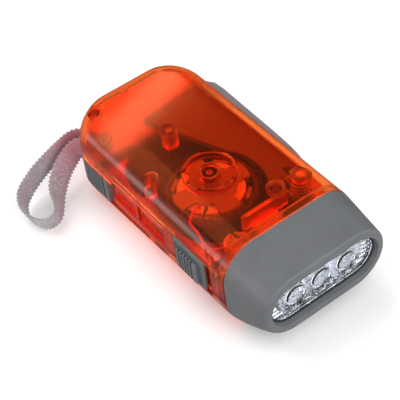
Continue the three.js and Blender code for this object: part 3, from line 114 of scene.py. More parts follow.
# Openings of the casing
lever_slot = ((-42.9, 14.4), (19.1, outside_y), (7.4, 23.1))
latch_window = ((-45.8, -25.8), (-outside_y, -18.6), (7.1, 17.7))
side_panes = [
    ((-26.0, -12.2), (-outside_y, -24.0), (13.0, 20.8)),
    ((-10.8, 4.0), (-outside_y, -24.0), (13.0, 20.8)),
    ((-26.0, 4.0), (-outside_y, -24.0), (6.6, 10.0)),
]
switch_pocket = ((9.3, 28.7), (-outside_y, -23.8), (9.7, 22.9))
stem_slot = ((17.7, 23.7), (-outside_y, -22.1), (12.7, 16.7))
pocket_round = 0.6
pane_round = 0.35
rear_corner = (-40.5, -12.1)
strap_slot_degrees = 216
strap_slot_reach = (6.5, 17.0)
strap_slot_half_width = 4.3
strap_slot_z = (12.0, 21.2)
seam_depth = 0.22
seam_height = 0.16

# Bosses under the roof and on the floor
ring_inner, ring_outer, ring_rim_z = 7.9, 8.8, 28.9
socket_radius, socket_rim_z, socket_bore = 3.6, 29.2, 2.7
pin_ring_radius, pin_ring_rim_z = 3.3, 29.05
column_radius, column_rim_z = 2.8, 24.8
rib_x, rib_width, rib_rear_y, rib_front_y, rib_bottom_z = 25.75, 1.5, -8.8, 7.5, 26.0
boss_fillet = 0.25
fillet_bend = 0.3
bore_top_z = 30.9
pin_bores = [(lever_pivot, 1.65), (wheel_centre, 1.15), (rotor_centre, socket_bore)]
axle_posts = [
    (lever_pivot, 3.0, 7.9), (wheel_centre, 2.5, 7.9), (rotor_centre, 2.75, 11.7), (idler_centre, 2.5, 11.7),
]
axle_bores = [(lever_pivot, 1.65), (wheel_centre, 1.15), (rotor_centre, 1.4), (idler_centre, 1.15)]

# Marks that the mould leaves on the roof: x, y along its surface, radius and width of their grooves
flat_roof_y = side_y - edge_radius
ejector_mark = (-33.0, -flat_roof_y - radians(38) * edge_radius, 2.7, 0.14)
locator_place = (-46.3, -3.1)
locator_mark = (*locator_place, 1.3, 0.12)
locator_radius, locator_length = 1.1, 1.5

# Screws, driven from below, and the bosses that hold them; profiles are pairs of radius and height
screw_places = [(-8.5, -19.6), (-45.9, -15.6), (22.2, 6.7)]
screw_neck_radius = 1.9
screw_collar_radius, screw_collar_z = 2.9, 29.2
screw_foot_radius, screw_foot_z = 3.5, 6.6
screw_well_radius, screw_well_z = 2.6, 5
screw_bore_radius, screw_bore_z = 1.25, 22.3
screw_head = [(0.9, 3.1), (1.5, 3.12), (2.0, 3.35), (2.3, 3.74), (2.3, 4.7), (1.1, 4.7)]
screw_tip = [(1.0, 19.9), (0.15, 22.0)]
screw_recess = (1.3, 0.25, (2.5, 4.0))
thread_shape = [(0.92, 0), (1.12, 0.35), (0.92, 0.7)]
thread_zs = (5.1, 19.5)
thread_pitch = 0.8

# Head and light unit
bezel_length = 18
bezel_steps = 10
bezel_hollow_shares = (0.5, 0.25, 0)
bottom_sweep_power = 1.5
spigot_length = 4
spigot_wall = 1.5
rim_half_width = 23.3
rim_half_height = 11.6
beam_z = 19.4
rim_round = 1
rim_steps = 6
seat_start_x = joint_x + 4.5
open_half_width = 20.2
open_half_height = 7.55
lip_flare = 0.933
lens_seat = 1
lens_gap = 0.35
lens_front_x = 51.5
lens_thickness = 1.5
insert_size = (open_half_width + lens_seat - fit_gap, open_half_height + lens_seat - fit_gap)
sliver = 0.01
# Black band in front of the window: painted shade for the shadowed gap between the window and the lip
shade_band_depth = 0.5
shade_band_width = 0.3
shade_band_bite = 0.1
optic_radius = 3.9
optic_depth = 1.7
optic_steps = 10
bowl_front_x = 49.7
bowl_rear_x = 38.7
post_radius, post_y = 1.2, 14.75
bowl_radius = 7.3
bowl_depth = 9.5
bowl_steps = 14
bowl_root = 0.08
bowl_sides = 64
flute_radius, flute_pitch, flute_rows, flute_ys = 0.62, 1.7, 7, (14.6, 19.8)

# Lamps: profiles are pairs of radius and distance in front of the place
led_pitch = 10
led_ys = (-led_pitch, 0, led_pitch)
led_hole_radius = 3.2
led_lift = 0.4
led_foot = [(2.6, 0), (2.9, 0.2), (2.9, 0.9), (2.8, 1.0), (2.5, 1.05)]
led_radius, led_dome_start, led_dome_steps = 2.5, 7.1, 12
led_tip = (0.12, 9.59)
led_sides = 40
led_cup = [(0.75, 4.3), (0.75, 5.3), (1.15, 5.9), (0.7, 5.9), (0.4, 5.5)]
led_cup_shift = 0.35
led_post = ((1.2, 5.2), (-1.6, -0.9), (-0.35, 0.35))
led_leg = [(0.27, -2.6), (0.27, 0.1)]
led_leg_shift = 1.27
solder_blob = [(0.9, 0), (0.8, -0.3), (0.35, -0.8), (0.2, -0.9)]

# Board and what it carries
board_front_x = 35.0
board_rear_x = 33.6
board_half_width = 17
board_half_height = 7.8
notch_radius, notch_y, notch_z = 0.9, 14.5, beam_z + 5.2
bridge_box = ((31.7, 33.3), (7.0, 15.0), (12.45, 17.45))
bridge_leg = ((31.9, 33.62), (-0.35, 0.35), (11.3, 12.6))
bridge_leg_ys = (8.0, 10.0, 12.0, 14.0)
cell_place = (25.4, 0, 21.2)
cell_radius = 4.5
cell_ends = (-6.5, 4.3)
cell_discs = 3
cell_inset = 0.35
cell_disc_edge = [(0.22, 0.05), (0, 0.4)]
cell_face = [(4.0, 0.9), (4.0, 0.15), (3.7, 0), (1.6, 0), (1.5, 0.15)]
cell_rib_ys = [(-4.7, -3.3), (1.1, 2.5)]
capacitor_place = (25.2, -11.4, 0)
capacitor_radius = 4.2
capacitor_z = (9.3, 22.0)
capacitor_round = 0.5
capacitor_crimp = [(0, 1.3), (0.25, 1.6), (0.32, 1.9), (0.25, 2.2), (0, 2.5)]
capacitor_lid = [(3.4, -0.6), (3.4, 0.06), (3.2, 0.1)]
lid_cross = (2.6, 0.12)
lid_cross_depth = 0.1

# Switch and latch on the side
switch_body = ((16.6, 25.2), (-22.5, -17.9), (11.0, 19.4))
switch_frame_wall = 0.2
switch_frame_step = 0.9
switch_stand_ys = (-24.1, -20.5)
switch_plate = ((9.6, 25.4), (-25.25, -24.1), (10.0, 22.6))
switch_border = 0.9
switch_top_border = 1.44
switch_recess = 0.4
switch_knob = ((12.0, 22.4), (-26.3, -24.4), (10.8, 19.4))
switch_stem = ((18.0, 20.4), (-24.6, -22.8), (13.0, 16.4))
switch_groove_xs = [13.0, 14.6, 16.2, 17.8, 19.4]
switch_groove_width = 0.8
switch_groove_depth = 1.0
latch_proud = 0.25
latch_plate = ((-45.5, -28.6), (-outside_y, -18.6), (7.4, 17.4))
latch_bar_room = ((-60, 0), (-23.3, 40), (0, 30))
latch_stop = (-31.9, -30.8)
latch_stop_depth = 0.9
latch_groove_xs = [-33.4, -34.6, -35.8, -37.0, -38.2, -39.4, -40.6, -41.8]
latch_groove_width = 0.5
latch_groove_depth = 0.55
latch_groove_zs = (6, 19)

# Lever, generator and rods
lever_edge_y = side_y + 0.35
lever_edge_round = 0.9
lever_edge_steps = 4
lever_edge_degrees = 40
winding_radii = (3.8, 10.4)
winding_zs = (21.0, 22.7)
winding_turns = 9
winding_groove = 0.09
bearing_radii = (1.4, 2.4)
bearing_zs = (28.6, 30.6)
bearing_outer_edge, bearing_inner_edge = 0.2, 0.15
rods = {
    "lever_pin": (1.5, 2.3, 30.6, lever_pivot), "drive_axle": (1.0, 2.3, 30.6, wheel_centre),
    "rotor_axle": (1.25, 2.3, 30.6, rotor_centre), "idler_axle": (1.0, 2.3, 15.1, idler_centre),
}
rod_round = 0.3

# Wrist strap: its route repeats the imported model's, as x, y, z and the lean of its width
strap_width = 8
strap_thickness = 1.2
strap_steps = 560
strap_across_steps = 56
strap_ribs = 7
strap_rib_depth = 0.3
strap_stitch_pitch = 1.4
strap_stitch_share = 0.3
strap_edge_wave = 0.3
strap_flat_power, strap_round_power = 0.55, 0.45
# Range of y over which the strap gets a painted reddish glow, standing in for light bounced from the orange
# casing
strap_painted_bounce_ys = (-44, -18)
strap_route = [
    (-43.0, -15.3, 16.5, 0), (-43.9, -13.3, 16.5, 0), (-46.0, -12.6, 16.5, 0),
    (-48.6, -14.2, 16.5, 0), (-51.4, -17.2, 16.6, 0), (-54.2, -19.8, 16.4, -2),
    (-55.5, -22.9, 15.7, -4), (-55.5, -27.0, 14.6, -5), (-55.3, -31.6, 13.0, -6),
    (-55.1, -35.9, 11.1, -8), (-54.8, -39.8, 9.0, -10), (-53.8, -43.7, 7.0, -14),
    (-51.9, -46.7, 5.5, -18), (-48.4, -48.5, 4.6, -20), (-44.5, -48.8, 4.2, -20),
    (-41.1, -48.0, 4.2, -20), (-38.6, -46.6, 4.2, -18), (-37.5, -44.3, 4.2, -12),
    (-38.3, -41.6, 4.4, 0), (-40.5, -39.4, 4.7, 14), (-43.8, -37.5, 5.4, 28),
    (-46.6, -35.5, 6.8, 38), (-48.7, -32.9, 8.8, 42), (-50.2, -29.9, 11.0, 38),
    (-50.8, -26.7, 13.2, 30), (-50.9, -23.7, 15.0, 18), (-49.6, -21.4, 16.4, 6),
    (-48.0, -19.4, 16.5, 0), (-45.4, -18.6, 16.5, 0), (-43.3, -16.6, 16.5, 0),
]

# Inner face of the clear shells
lining_roughness = (0.30, 0.11)
lining_xs = (-36, -12)
lining_tolerance = 0.05

# Stage. A part of the sky holds a direction, its edge and core in degrees, and its values out- and inside
floor_reach = 3000
floor_z = -0.05
dark_sky = ((-0.584, 0.371, 0.722), 86, 62, 1.3, 0.02)
dark_ground = ((0, 0, -1), 92, 84, 1.0, 0.2)
side_glow = ((-0.612, -0.785, 0.06), 10, 1, 0.0, 1.2)
strip_end = ((-0.65, -0.15, 0.74), 50, 36, 0.0, 1.0)
strip_xs = (-0.661, -0.652)
strip_blur = 0.008
strip_strength = 3.1
strip_color = (1.0, 0.72, 0.36)
backdrop_light = 0.9
studio_lamps = {
    "key": ((-420, -140, 560), (0, 0, 10), (800, 800), 5.3),
    "front": ((480, 40, 220), (50, 0, 16), (260, 160), 0.5),
    "fill": ((300, 260, 500), (0, 0, 10), (700, 700), 2.8),
}


# Camera, turned so that the target falls on its pixel of the photograph
def add_camera():
    azimuth, elevation, roll = map(radians, (camera_azimuth, camera_elevation, camera_roll))
    back = Vector((sin(azimuth) * cos(elevation), -cos(azimuth) * cos(elevation), sin(elevation)))
    level = Vector((0, 0, 1)).cross(back).normalized()
    upright = back.cross(level)
    right = level * cos(roll) + upright * sin(roll)
    up = upright * cos(roll) - level * sin(roll)
    middle = image_pixels / 2
    aim = -back
    aim += right * (middle - target_pixel[0]) / focal_pixels
    aim -= up * (middle - target_pixel[1]) / focal_pixels
    z_axis = -aim.normalized()
    x_axis = up.cross(z_axis).normalized()
    lens = bpy.data.cameras.new("camera")
    lens.sensor_width = sensor_width
    lens.lens = focal_pixels / image_pixels * sensor_width
    lens.clip_start = camera_near
    camera = bpy.data.objects.new("camera", lens)
    turn = Matrix((x_axis, z_axis.cross(x_axis), z_axis)).transposed().to_4x4()
    camera.matrix_world = Matrix.Translation((camera_target + back * camera_distance) * MM) @ turn
    bpy.context.scene.collection.objects.link(camera)
    bpy.context.scene.camera = camera


add_camera()


# Mesh building: points in millimetres become an object in metres
@contextmanager
def reshaping(piece):
    """The piece's mesh, open for changes that are then written back."""
    shape = bmesh.new()
    shape.from_mesh(piece.data)
    yield shape
    shape.to_mesh(piece.data)
    shape.free()


def piece_from(name, points, faces):
    mesh = bpy.data.meshes.new(name)
    mesh.from_pydata([Vector(point) * MM for point in points], [], faces)
    piece = bpy.data.objects.new(name, mesh)
    bpy.context.scene.collection.objects.link(piece)
    with reshaping(piece) as shape:
        bmesh.ops.recalc_face_normals(shape, faces=shape.faces)
    return piece


def ring_faces(rows, count, looped=False):
    faces = []
    for row in range(rows if looped else rows - 1):
        after = (row + 1) % rows
        for i in range(count):
            j = (i + 1) % count
            faces.append((row * count + i, row * count + j, after * count + j, after * count + i))
    if not looped:
        faces.append(tuple(range(count)))
        faces.append(tuple((rows - 1) * count + i for i in reversed(range(count))))
    return faces


def loft(rings, looped=False):
    points = [point for ring in rings for point in ring]
    return piece_from("form", points, ring_faces(len(rings), len(rings[0]), looped))


def prism(outline, z0, z1):
    return loft([[(x, y, z) for x, y in outline] for z in (z0, z1)])


def slab(xs, ys, zs, round_by=0.0, segments=3):
    """A block between two values of each axis, with its edges rounded where that is asked for."""
    block = prism([(xs[0], ys[0]), (xs[1], ys[0]), (xs[1], ys[1]), (xs[0], ys[1])], *zs)
    if not round_by:
        return block
    bevel = block.modifiers.new("edges", "BEVEL")
    bevel.width = round_by * MM
    bevel.segments = segments
    bevel.limit_method = "ANGLE"
    bevel.angle_limit = radians(30)
    return settle(block)


axes = [Vector((1, 0, 0)), Vector((0, 1, 0)), Vector((0, 0, 1))]


def full_turns(count):
    return [i / count * tau for i in range(count)]


def quarter_turns(steps):
    return [step / steps * pi / 2 for step in range(steps + 1)]


def turned(profile, place, axis="z", sides=round_sides, looped=False):
    """Pairs of radius and distance, turned about the axis through the place."""
    first_axis = "xyz".index(axis)
    along, first, second = axes[first_axis:] + axes[:first_axis]
    rings = [
        [
            Vector(place) + along * distance + (first * cos(turn) + second * sin(turn)) * radius
            for turn in full_turns(sides)
        ]
        for radius, distance in profile
    ]
    return loft(rings, looped)


def hoop(profile, place, sides=round_sides):
    return turned(profile, place, "z", sides, looped=True)


def dome(radius, start, rise, steps):
    return [(radius * cos(turn), start + rise * sin(turn)) for turn in quarter_turns(steps)[:-1]]


def barrel(radius, start, stop, round_by):
    """Profile of a rod with rounded ends."""
    ends = [(radius - round_by * (1 - sin(turn)), round_by * (1 - cos(turn))) for turn in quarter_turns(3)]
    return [(r, start + d) for r, d in ends] + [(r, stop - d) for r, d in reversed(ends)]


def rod(radius, z0, z1, x, y):
    return turned([(radius, z0), (radius, z1)], (x, y, 0))


def screw_rods(radius, z0, z1):
    return [rod(radius, z0, z1, *place) for place in screw_places]


def closed_tube(points, radius, sides=8):
    count = len(points)
    centre = sum(points, Vector()) / count
    rings = []
    for i, point in enumerate(points):
        along = (points[(i + 1) % count] - points[i - 1]).normalized()
        outward = (point - centre).normalized()
        over = along.cross(outward).normalized()
        outward = over.cross(along)
        rings.append([
            point + (outward * cos(a) + over * sin(a)) * radius for a in full_turns(sides)
        ])
    return loft(rings, looped=True)


def span(middle, half):
    return middle - half, middle + half


def moved(box, place):
    """The three ranges of a box, moved by the place."""
    return [(start + by, stop + by) for (start, stop), by in zip(box, place)]


# Modifiers made final, and solids joined or cut
def settle(piece):
    bpy.context.view_layer.update()
    graph = bpy.context.evaluated_depsgraph_get()
    mesh = bpy.data.meshes.new_from_object(piece.evaluated_get(graph))
    piece.modifiers.clear()
    piece.data = mesh
    return piece


def combine(piece, others, operation):
    for other in others:
        modifier = piece.modifiers.new("combine", "BOOLEAN")
        modifier.operation = operation
        modifier.solver = "MANIFOLD"
        modifier.object = other
    settle(piece)
    for other in others:
        bpy.data.objects.remove(other)
    return piece


def cut(piece, *others):
    return combine(piece, others, "DIFFERENCE")


def join(piece, *others):
    return combine(piece, others, "UNION")


def common(piece, other):
    return combine(piece, [other], "INTERSECT")


def merge_flat(shape, degrees):
    """Points that coincide are welded, and faces that lie flat together become one."""
    bmesh.ops.remove_doubles(shape, verts=shape.verts, dist=0.001 * MM)
    if degrees:
        bmesh.ops.dissolve_limit(shape, angle_limit=radians(degrees), verts=shape.verts, edges=shape.edges)


def smooth(piece, sharp_degrees=32, flat_degrees=0.6):
    with reshaping(piece) as shape:
        merge_flat(shape, flat_degrees)
    piece.data.shade_smooth()
    piece.data.set_sharp_from_angle(angle=radians(sharp_degrees))
    weigh = piece.modifiers.new("flat faces stay flat", "WEIGHTED_NORMAL")
    weigh.keep_sharp = True
    return piece


def solid_of(node, flat_degrees=1):
    """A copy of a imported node's mesh, in the model's frame, with its split points welded."""
    source = frame["nodes"][node]
    mesh = source.data.copy()
    mesh.transform(source.matrix_world)
    if "custom_normal" in mesh.attributes:
        mesh.attributes.remove(mesh.attributes["custom_normal"])
    piece = bpy.data.objects.new(f"{node}_copy", mesh)
    bpy.context.scene.collection.objects.link(piece)
    with reshaping(piece) as shape:
        merge_flat(shape, flat_degrees)
    return piece


# A dressed piece: named after its node, on its body, with its material
body_of = {node: body for body, nodes in frame["record"]["behaviour"]["bodies"].items() for node in nodes}


def dress(piece, node, material, name):
    piece.name = name
    piece.data.materials.clear()
    piece.data.materials.append(material)
    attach(piece, body_of[node])
    return piece


def stand_for(piece, node, material):
    dress(piece, node, material, f"{node}_dressed")
    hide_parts(node)
    return piece


# Procedural materials
class NodeTree:
    """A tree of shader nodes, built step by step."""

    def __init__(self, tree):
        self.tree = tree

    def node(self, kind, values=None, **settings):
        """A node whose inputs get their values, or are linked to an output given in place of one."""
        made = self.tree.nodes.new("ShaderNode" + kind)
        for key, value in settings.items():
            setattr(made, key, value)
        for socket, value in (values or {}).items():
            if isinstance(value, bpy.types.NodeSocket):
                self.link(value, made.inputs[socket])
            else:
                made.inputs[socket].default_value = value
        return made

    def link(self, source, target):
        self.tree.links.new(source, target)

    def spread(self, value, low_value, high_value, start=0.3, stop=0.7, curve="LINEAR"):
        limits = {"From Min": start, "From Max": stop, "To Min": low_value, "To Max": high_value}
        ranged = self.node("MapRange", {"Value": value, **limits}, interpolation_type=curve)
        return ranged.outputs["Result"]

    def part_of(self, vector, axis):
        return self.node("SeparateXYZ", {0: vector}).outputs[axis]

    def combined(self, operation, first, second):
        return self.node("Math", {0: first, 1: second}, operation=operation).outputs[0]


class Surface(NodeTree):
    """A material round one Principled shader."""

    def __init__(self, name, color, roughness, values=None):
        self.material = bpy.data.materials.new(name)
        self.material.use_nodes = True
        super().__init__(self.material.node_tree)
        self.tree.nodes.clear()
        self.output = self.node("OutputMaterial")
        values = {"Base Color": (*color, 1), "Roughness": roughness, **(values or {})}
        self.shader = self.node("BsdfPrincipled", values)
        self.link(self.shader.outputs[0], self.output.inputs["Surface"])
        self.place = self.node("TexCoord").outputs["Object"]
        self.color = color
        self.roughness = roughness

    def noise(self, size_mm, detail, distortion=0.0, stretch=(1, 1, 1)):
        place = self.place
        if stretch != (1, 1, 1):
            place = self.node("Mapping", {"Vector": place, "Scale": stretch}).outputs[0]
        scale = 1 / (size_mm * MM)
        values = {"Vector": place, "Scale": scale, "Detail": detail, "Distortion": distortion}
        return self.node("TexNoise", values).outputs["Fac"]

    def tint(self, value, other_color, share=1.0):
        current = self.shader.inputs["Base Color"]
        before = current.links[0].from_socket if current.is_linked else (*self.color, 1)
        values = {0: self.spread(value, 0.0, share), 6: before, 7: (*other_color, 1)}
        self.link(self.node("Mix", values, data_type="RGBA").outputs[2], current)

    def vary_roughness(self, value, by):
        varied = self.spread(value, self.roughness - by, self.roughness + by)
        self.link(varied, self.shader.inputs["Roughness"])

    def bump(self, value, depth_mm):
        bump = self.node("Bump", {"Height": value, "Strength": 1, "Distance": depth_mm * MM})
        self.link(bump.outputs["Normal"], self.shader.inputs["Normal"])

    def lets_lamps_through(self, color):
        """Rays from lamps pass the clear surface, so that they reach what is inside it."""
        film = self.node("BsdfTransparent", {"Color": (*color, 1)}).outputs[0]
        from_lamp = self.node("LightPath").outputs["Is Shadow Ray"]
        blend = self.node("MixShader", {0: from_lamp, 1: self.shader.outputs[0], 2: film})
        self.link(blend.outputs[0], self.output.inputs["Surface"])


def moulded(name, color, roughness=0.45, grain=0.35, depth=0.012, lighter=1.18):
    """Moulded plastic: a fine even grain, faint cloudiness and slightly uneven gloss."""
    surface = Surface(name, color, roughness)
    surface.tint(surface.noise(9, 4), tuple(min(1, c * lighter) for c in color), 0.8)
    surface.vary_roughness(surface.noise(2.4, 4), 0.07)
    surface.bump(surface.noise(grain, 2), depth)
    return surface.material


def clear_shell(name, roughness, clearness=0.99):
    values = {"Transmission Weight": clearness, "IOR": 1.49}
    surface = Surface(name, (0.96, 0.19, 0.040), roughness, values)
    surface.tint(surface.noise(26, 2), (0.95, 0.15, 0.030), 0.6)
    surface.bump(surface.noise(12, 2), 0.010)
    surface.lets_lamps_through((0.99, 0.50, 0.24))
    return surface


def textured_lining():
    """The mould's texture on the inner wall is coarse at the rear and fine towards the light."""
    surface = clear_shell("textured_inner_wall", lining_roughness[0])
    along = surface.part_of(surface.place, "X")
    rough = surface.spread(along, *lining_roughness, *(x * MM for x in lining_xs))
    surface.link(rough, surface.shader.inputs["Roughness"])
    return surface.material


def clear_part(name, tint, roughness):
    surface = Surface(name, tint, roughness, {"Transmission Weight": 1.0, "IOR": 1.47})
    surface.bump(surface.noise(3, 2), 0.004)
    surface.lets_lamps_through(tuple(c ** 0.5 for c in tint))
    return surface.material


def metal(name, color, roughness, grain_stretch=(1, 1, 12), depth=0.004):
    surface = Surface(name, color, roughness, {"Metallic": 1.0})
    surface.vary_roughness(surface.noise(1.2, 5, 0, grain_stretch), roughness * 0.35)
    surface.tint(surface.noise(4, 4), tuple(c * 0.82 for c in color), 0.7)
    surface.bump(surface.noise(0.5, 4, 0, grain_stretch), depth)
    return surface.material


def bowl_metal():
    surface = Surface("bowl_chrome", (0.80, 0.81, 0.87), 0.07, {"Metallic": 1.0})
    surface.tint(surface.noise(3, 3), (0.66, 0.67, 0.74), 0.6)
    surface.bump(surface.noise(1.9, 2, 1.5), 0.16)
    surface.vary_roughness(surface.noise(1, 3), 0.03)
    return surface.material


shell_plastic = clear_shell("clear_orange_plastic", 0.06).material
lower_plastic = clear_shell("clear_orange_lower", 0.06, 0.88).material
shell_lining = textured_lining()
shell_bosses = clear_shell("textured_bosses", 0.3).material
grey_plastic = moulded("grey_plastic", (0.106, 0.111, 0.117), 0.36)
lever_plastic = moulded("lever_plastic", (0.140, 0.138, 0.150), 0.42)
black_plastic = moulded("black_plastic", (0.004, 0.004, 0.005), 0.36)
white_plastic = moulded("white_plastic", (0.78, 0.76, 0.70), 0.4, lighter=1.06)
board_face = moulded("board_face", (0.70, 0.69, 0.62), 0.5, lighter=1.08)
chip_black = moulded("chip_black", (0.02, 0.02, 0.022), 0.45)
sleeve = moulded("cell_sleeve", (0.72, 0.75, 0.73), 0.3, lighter=1.06)
red_wire = moulded("red_wire", (0.48, 0.03, 0.02), 0.4)
black_wire = moulded("black_wire", (0.02, 0.02, 0.02), 0.4)
ferrite = moulded("ferrite", (0.045, 0.045, 0.048), 0.6, 0.5, 0.03)
zinc_steel = metal("zinc_steel", (0.60, 0.61, 0.63), 0.28)
solder = metal("solder", (0.70, 0.71, 0.72), 0.22, (1, 1, 1), 0.01)
plated_steel = moulded("plated_steel", (0.26, 0.26, 0.27), 0.45, grain=0.6)
bowl_chrome = bowl_metal()
copper = metal("copper", (0.62, 0.26, 0.10), 0.32)
lens_plastic = clear_part("lens_plastic", (0.96, 0.98, 0.99), 0.02)
led_epoxy = clear_part("led_epoxy", (0.93, 0.96, 0.98), 0.05)


def webbing_material():
    surface = Surface("strap_webbing", (0.20, 0.175, 0.195), 0.85, {"Sheen Weight": 0.3})
    surface.tint(surface.noise(0.7, 3), (0.42, 0.40, 0.43), 1.0)
    surface.tint(surface.noise(5, 2), (0.26, 0.21, 0.25), 0.5)
    # Painted bounce light: the webbing turns reddish towards the casing, as if lit by light bounced from it
    across = surface.part_of(surface.place, "Y")
    painted_bounce_light = surface.spread(across, 0.0, 1.0, *(y * MM for y in strap_painted_bounce_ys))
    surface.tint(painted_bounce_light, (0.36, 0.12, 0.17), 0.6)
    surface.bump(surface.noise(0.35, 3, 0, (1, 1, 2)), 0.12)
    return surface.material


webbing = webbing_material()


# Wrist strap
def spline(rows, steps):
    """Points along a smooth curve through the rows, by uniform Catmull-Rom pieces."""
    made = []
    last = len(rows) - 1
    for step in range(steps + 1):
        at = step / steps * last
        i = min(int(at), last - 1)
        t = at - i
        p0, p1, p2, p3 = (Vector(rows[min(max(k, 0), last)]) for k in (i - 1, i, i + 1, i + 2))
        made.append(0.5 * (
            2 * p1 + (p2 - p0) * t + (2 * p0 - 5 * p1 + 4 * p2 - p3) * t ** 2
            + (3 * p1 - p0 - 3 * p2 + p3) * t ** 3
        ))
    return made


def wrist_strap():
    centre = spline(strap_route, strap_steps)
    points = []
    travelled = 0.0
    for k, row in enumerate(centre):
        spot = Vector(row[:3])
        before = Vector(centre[max(k - 1, 0)][:3])
        after = Vector(centre[min(k + 1, strap_steps)][:3])
        along = (after - before).normalized()
        side = Vector((along.y, -along.x, 0)).normalized()
        upright = side.cross(along).normalized()
        lean = radians(row[3])
        width = upright * cos(lean) - side * sin(lean)
        through = along.cross(width).normalized()
        stitch = travelled / strap_stitch_pitch * tau
        travelled += (after - spot).length
        half_width = strap_width / 2 - strap_edge_wave + strap_edge_wave * cos(stitch)
        for turn in full_turns(strap_across_steps):
            flat = copysign(abs(cos(turn)) ** strap_flat_power, cos(turn))
            thick = copysign(abs(sin(turn)) ** strap_round_power, sin(turn))
            rib = flat * strap_ribs / 2
            slant = stitch + (pi if int(floor(rib)) % 2 else 0)
            bulge = 1 - strap_stitch_share + strap_stitch_share * cos(slant)
            relief = strap_rib_depth * (abs(sin(rib * pi)) * bulge - 1)
            points.append(
                spot + width * flat * half_width + through * thick * (strap_thickness / 2 + relief)
            )
    strap = piece_from("wrist_strap_webbing", points, ring_faces(strap_steps + 1, strap_across_steps))
    strap.data.shade_smooth()
    return strap


strap = dress(wrist_strap(), "wrist_strap", webbing, "wrist_strap_webbing")
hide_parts("wrist_strap")


# Casing: rounded sections lofted along the beam
def section_ring(x, half_width, bottom, top, top_radius, bottom_radius=None, crown=0.0):
    ring = []
    for quarter, (sign_y, sign_z) in enumerate(((1, 1), (-1, 1), (-1, -1), (1, -1))):
        radius = top_radius if sign_z > 0 or bottom_radius is None else bottom_radius
        for step in range(corner_steps + 1):
            angle = (quarter + step / corner_steps) * pi / 2
            y = sign_y * (half_width - radius) + radius * cos(angle)
            z = (top + bottom) / 2 + sign_z * ((top - bottom) / 2 - radius) + radius * sin(angle)
            ring.append((x + crown * (y / side_y) ** 2, y, z))
    return ring


def plain_ring(inset, x):
    return section_ring(x, side_y - inset, inset, body_height - inset, edge_radius - inset)


def casing_form(inset, from_x=None):
    corner = rear_corner_radius - inset
    edge = rear_edge_radius - inset
    radius = edge_radius - inset
    start = joint_x if from_x is None else from_x
    rings = [plain_ring(inset, start)]
    if from_x is None:
        rings = [plain_ring(inset + joint_chamfer, joint_x), plain_ring(inset, joint_x - joint_chamfer)]
    for turn in quarter_turns(rear_steps):
        depth = corner * (1 - sin(turn))
        narrowing = corner * (1 - cos(turn))
        lowering = edge - sqrt(edge ** 2 - (edge - depth) ** 2) if depth < edge else 0
        rings.append(section_ring(
            rear_x + inset + depth,
            side_y - inset - narrowing,
            inset + lowering,
            body_height - inset - lowering,
            radius - lowering,
            rear_bottom_radius - inset - lowering,
            rear_crown * sin(turn),
        ))
    for share in rear_face_shares:
        half_width = (side_y - inset - corner) * share
        half_height = (body_height / 2 - inset - edge) * share
        rings.append(section_ring(
            rear_x + inset, half_width, body_height / 2 - half_height, body_height / 2 + half_height,
            (radius - edge) * share, (rear_bottom_radius - rear_edge_radius) * share, rear_crown,
        ))
    return loft(rings)


def hollow_form(inset=wall):
    return casing_form(inset, joint_x + overrun)


def bezel_ring(share, inset):
    def between(start, end, power=1.0):
        return start + (end - start) * share ** power
    bottom = between(0, beam_z - rim_half_height, bottom_sweep_power)
    top = between(body_height, beam_z + rim_half_height)
    half_width = between(side_y, rim_half_width)
    radius = min(between(edge_radius, rim_half_height), (top - bottom) / 2)
    return section_ring(
        joint_x + share * bezel_length,
        half_width - inset, bottom + inset, top - inset, radius - inset,
    )


def stadium(half_width, half_height, x0, x1, flare=0.0):
    rings = []
    for x, grow in ((x0, 0), (x1, flare)):
        high_by = half_height + grow
        rings.append(section_ring(x, half_width + grow, beam_z - high_by, beam_z + high_by, high_by))
    return loft(rings)


def spigot():
    root_x = joint_x - 2 * wall
    outer = wall + fit_gap
    inner = outer + spigot_wall
    root = loft([plain_ring(wall / 2, x) for x in (joint_x, root_x)])
    tip_share = spigot_length / bezel_length
    bore_share = (spigot_length + overrun) / bezel_length
    tip = loft([bezel_ring(tip_share, outer), plain_ring(outer, joint_x), plain_ring(outer, root_x)])
    bore = loft([
        bezel_ring(bore_share, inner), plain_ring(inner, joint_x), plain_ring(inner, root_x - overrun),
    ])
    return cut(join(root, tip), bore)


def strap_slot():
    turn = radians(strap_slot_degrees)
    along = Vector((cos(turn), sin(turn)))
    across = Vector((-along.y, along.x)) * strap_slot_half_width
    near, far = (Vector(rear_corner) + along * reach for reach in strap_slot_reach)
    outline = [near + across, far + across, far - across, near - across]
    return prism(outline, *strap_slot_z)


def shell_openings():
    seam = slab(*everywhere, span(parting_z, seam_height))
    return [
        slab(*lever_slot, round_by=pocket_round),
        slab(*latch_window, round_by=pocket_round),
        strap_slot(),
        *[slab(*pane, round_by=pane_round) for pane in side_panes],
        slab(*switch_pocket, round_by=pocket_round),
        slab(*stem_slot),
        cut(seam, casing_form(seam_depth)),
    ]


def boss(radius, bottom, place, flare=True):
    """A round boss that hangs from the roof, with a fillet where the two meet."""
    rise = roof_z + wall / 2
    profile = [(radius, bottom), (radius, roof_z - boss_fillet)]
    if flare:
        bend = boss_fillet * fillet_bend
        profile += [(radius + bend, roof_z - bend), (radius + boss_fillet, roof_z)]
    return turned(profile + [(profile[-1][0], rise)], (*place, 0))


def roof_groove(x, y, radius, width):
    """A round groove in the roof, which bends down with it past its flat part."""
    points = []
    for angle in full_turns(round_sides):
        past_flat = radius * sin(angle) - y - flat_roof_y
        turn = max(0, past_flat) / edge_radius
        points.append(Vector((
            x + radius * cos(angle),
            -flat_roof_y - min(0, past_flat) - edge_radius * sin(turn),
            body_height - edge_radius + edge_radius * cos(turn),
        )))
    return closed_tube(points, width)


def shell_half(zs, inside, holes):
    """One half of the hollow casing with its openings, what stands in it and the holes in that."""
    skin = join(cut(casing_form(0), hollow_form()), spigot())
    shell = cut(common(skin, slab(*everywhere, zs)), *shell_openings())
    return smooth(cut(join(shell, inside), *holes))


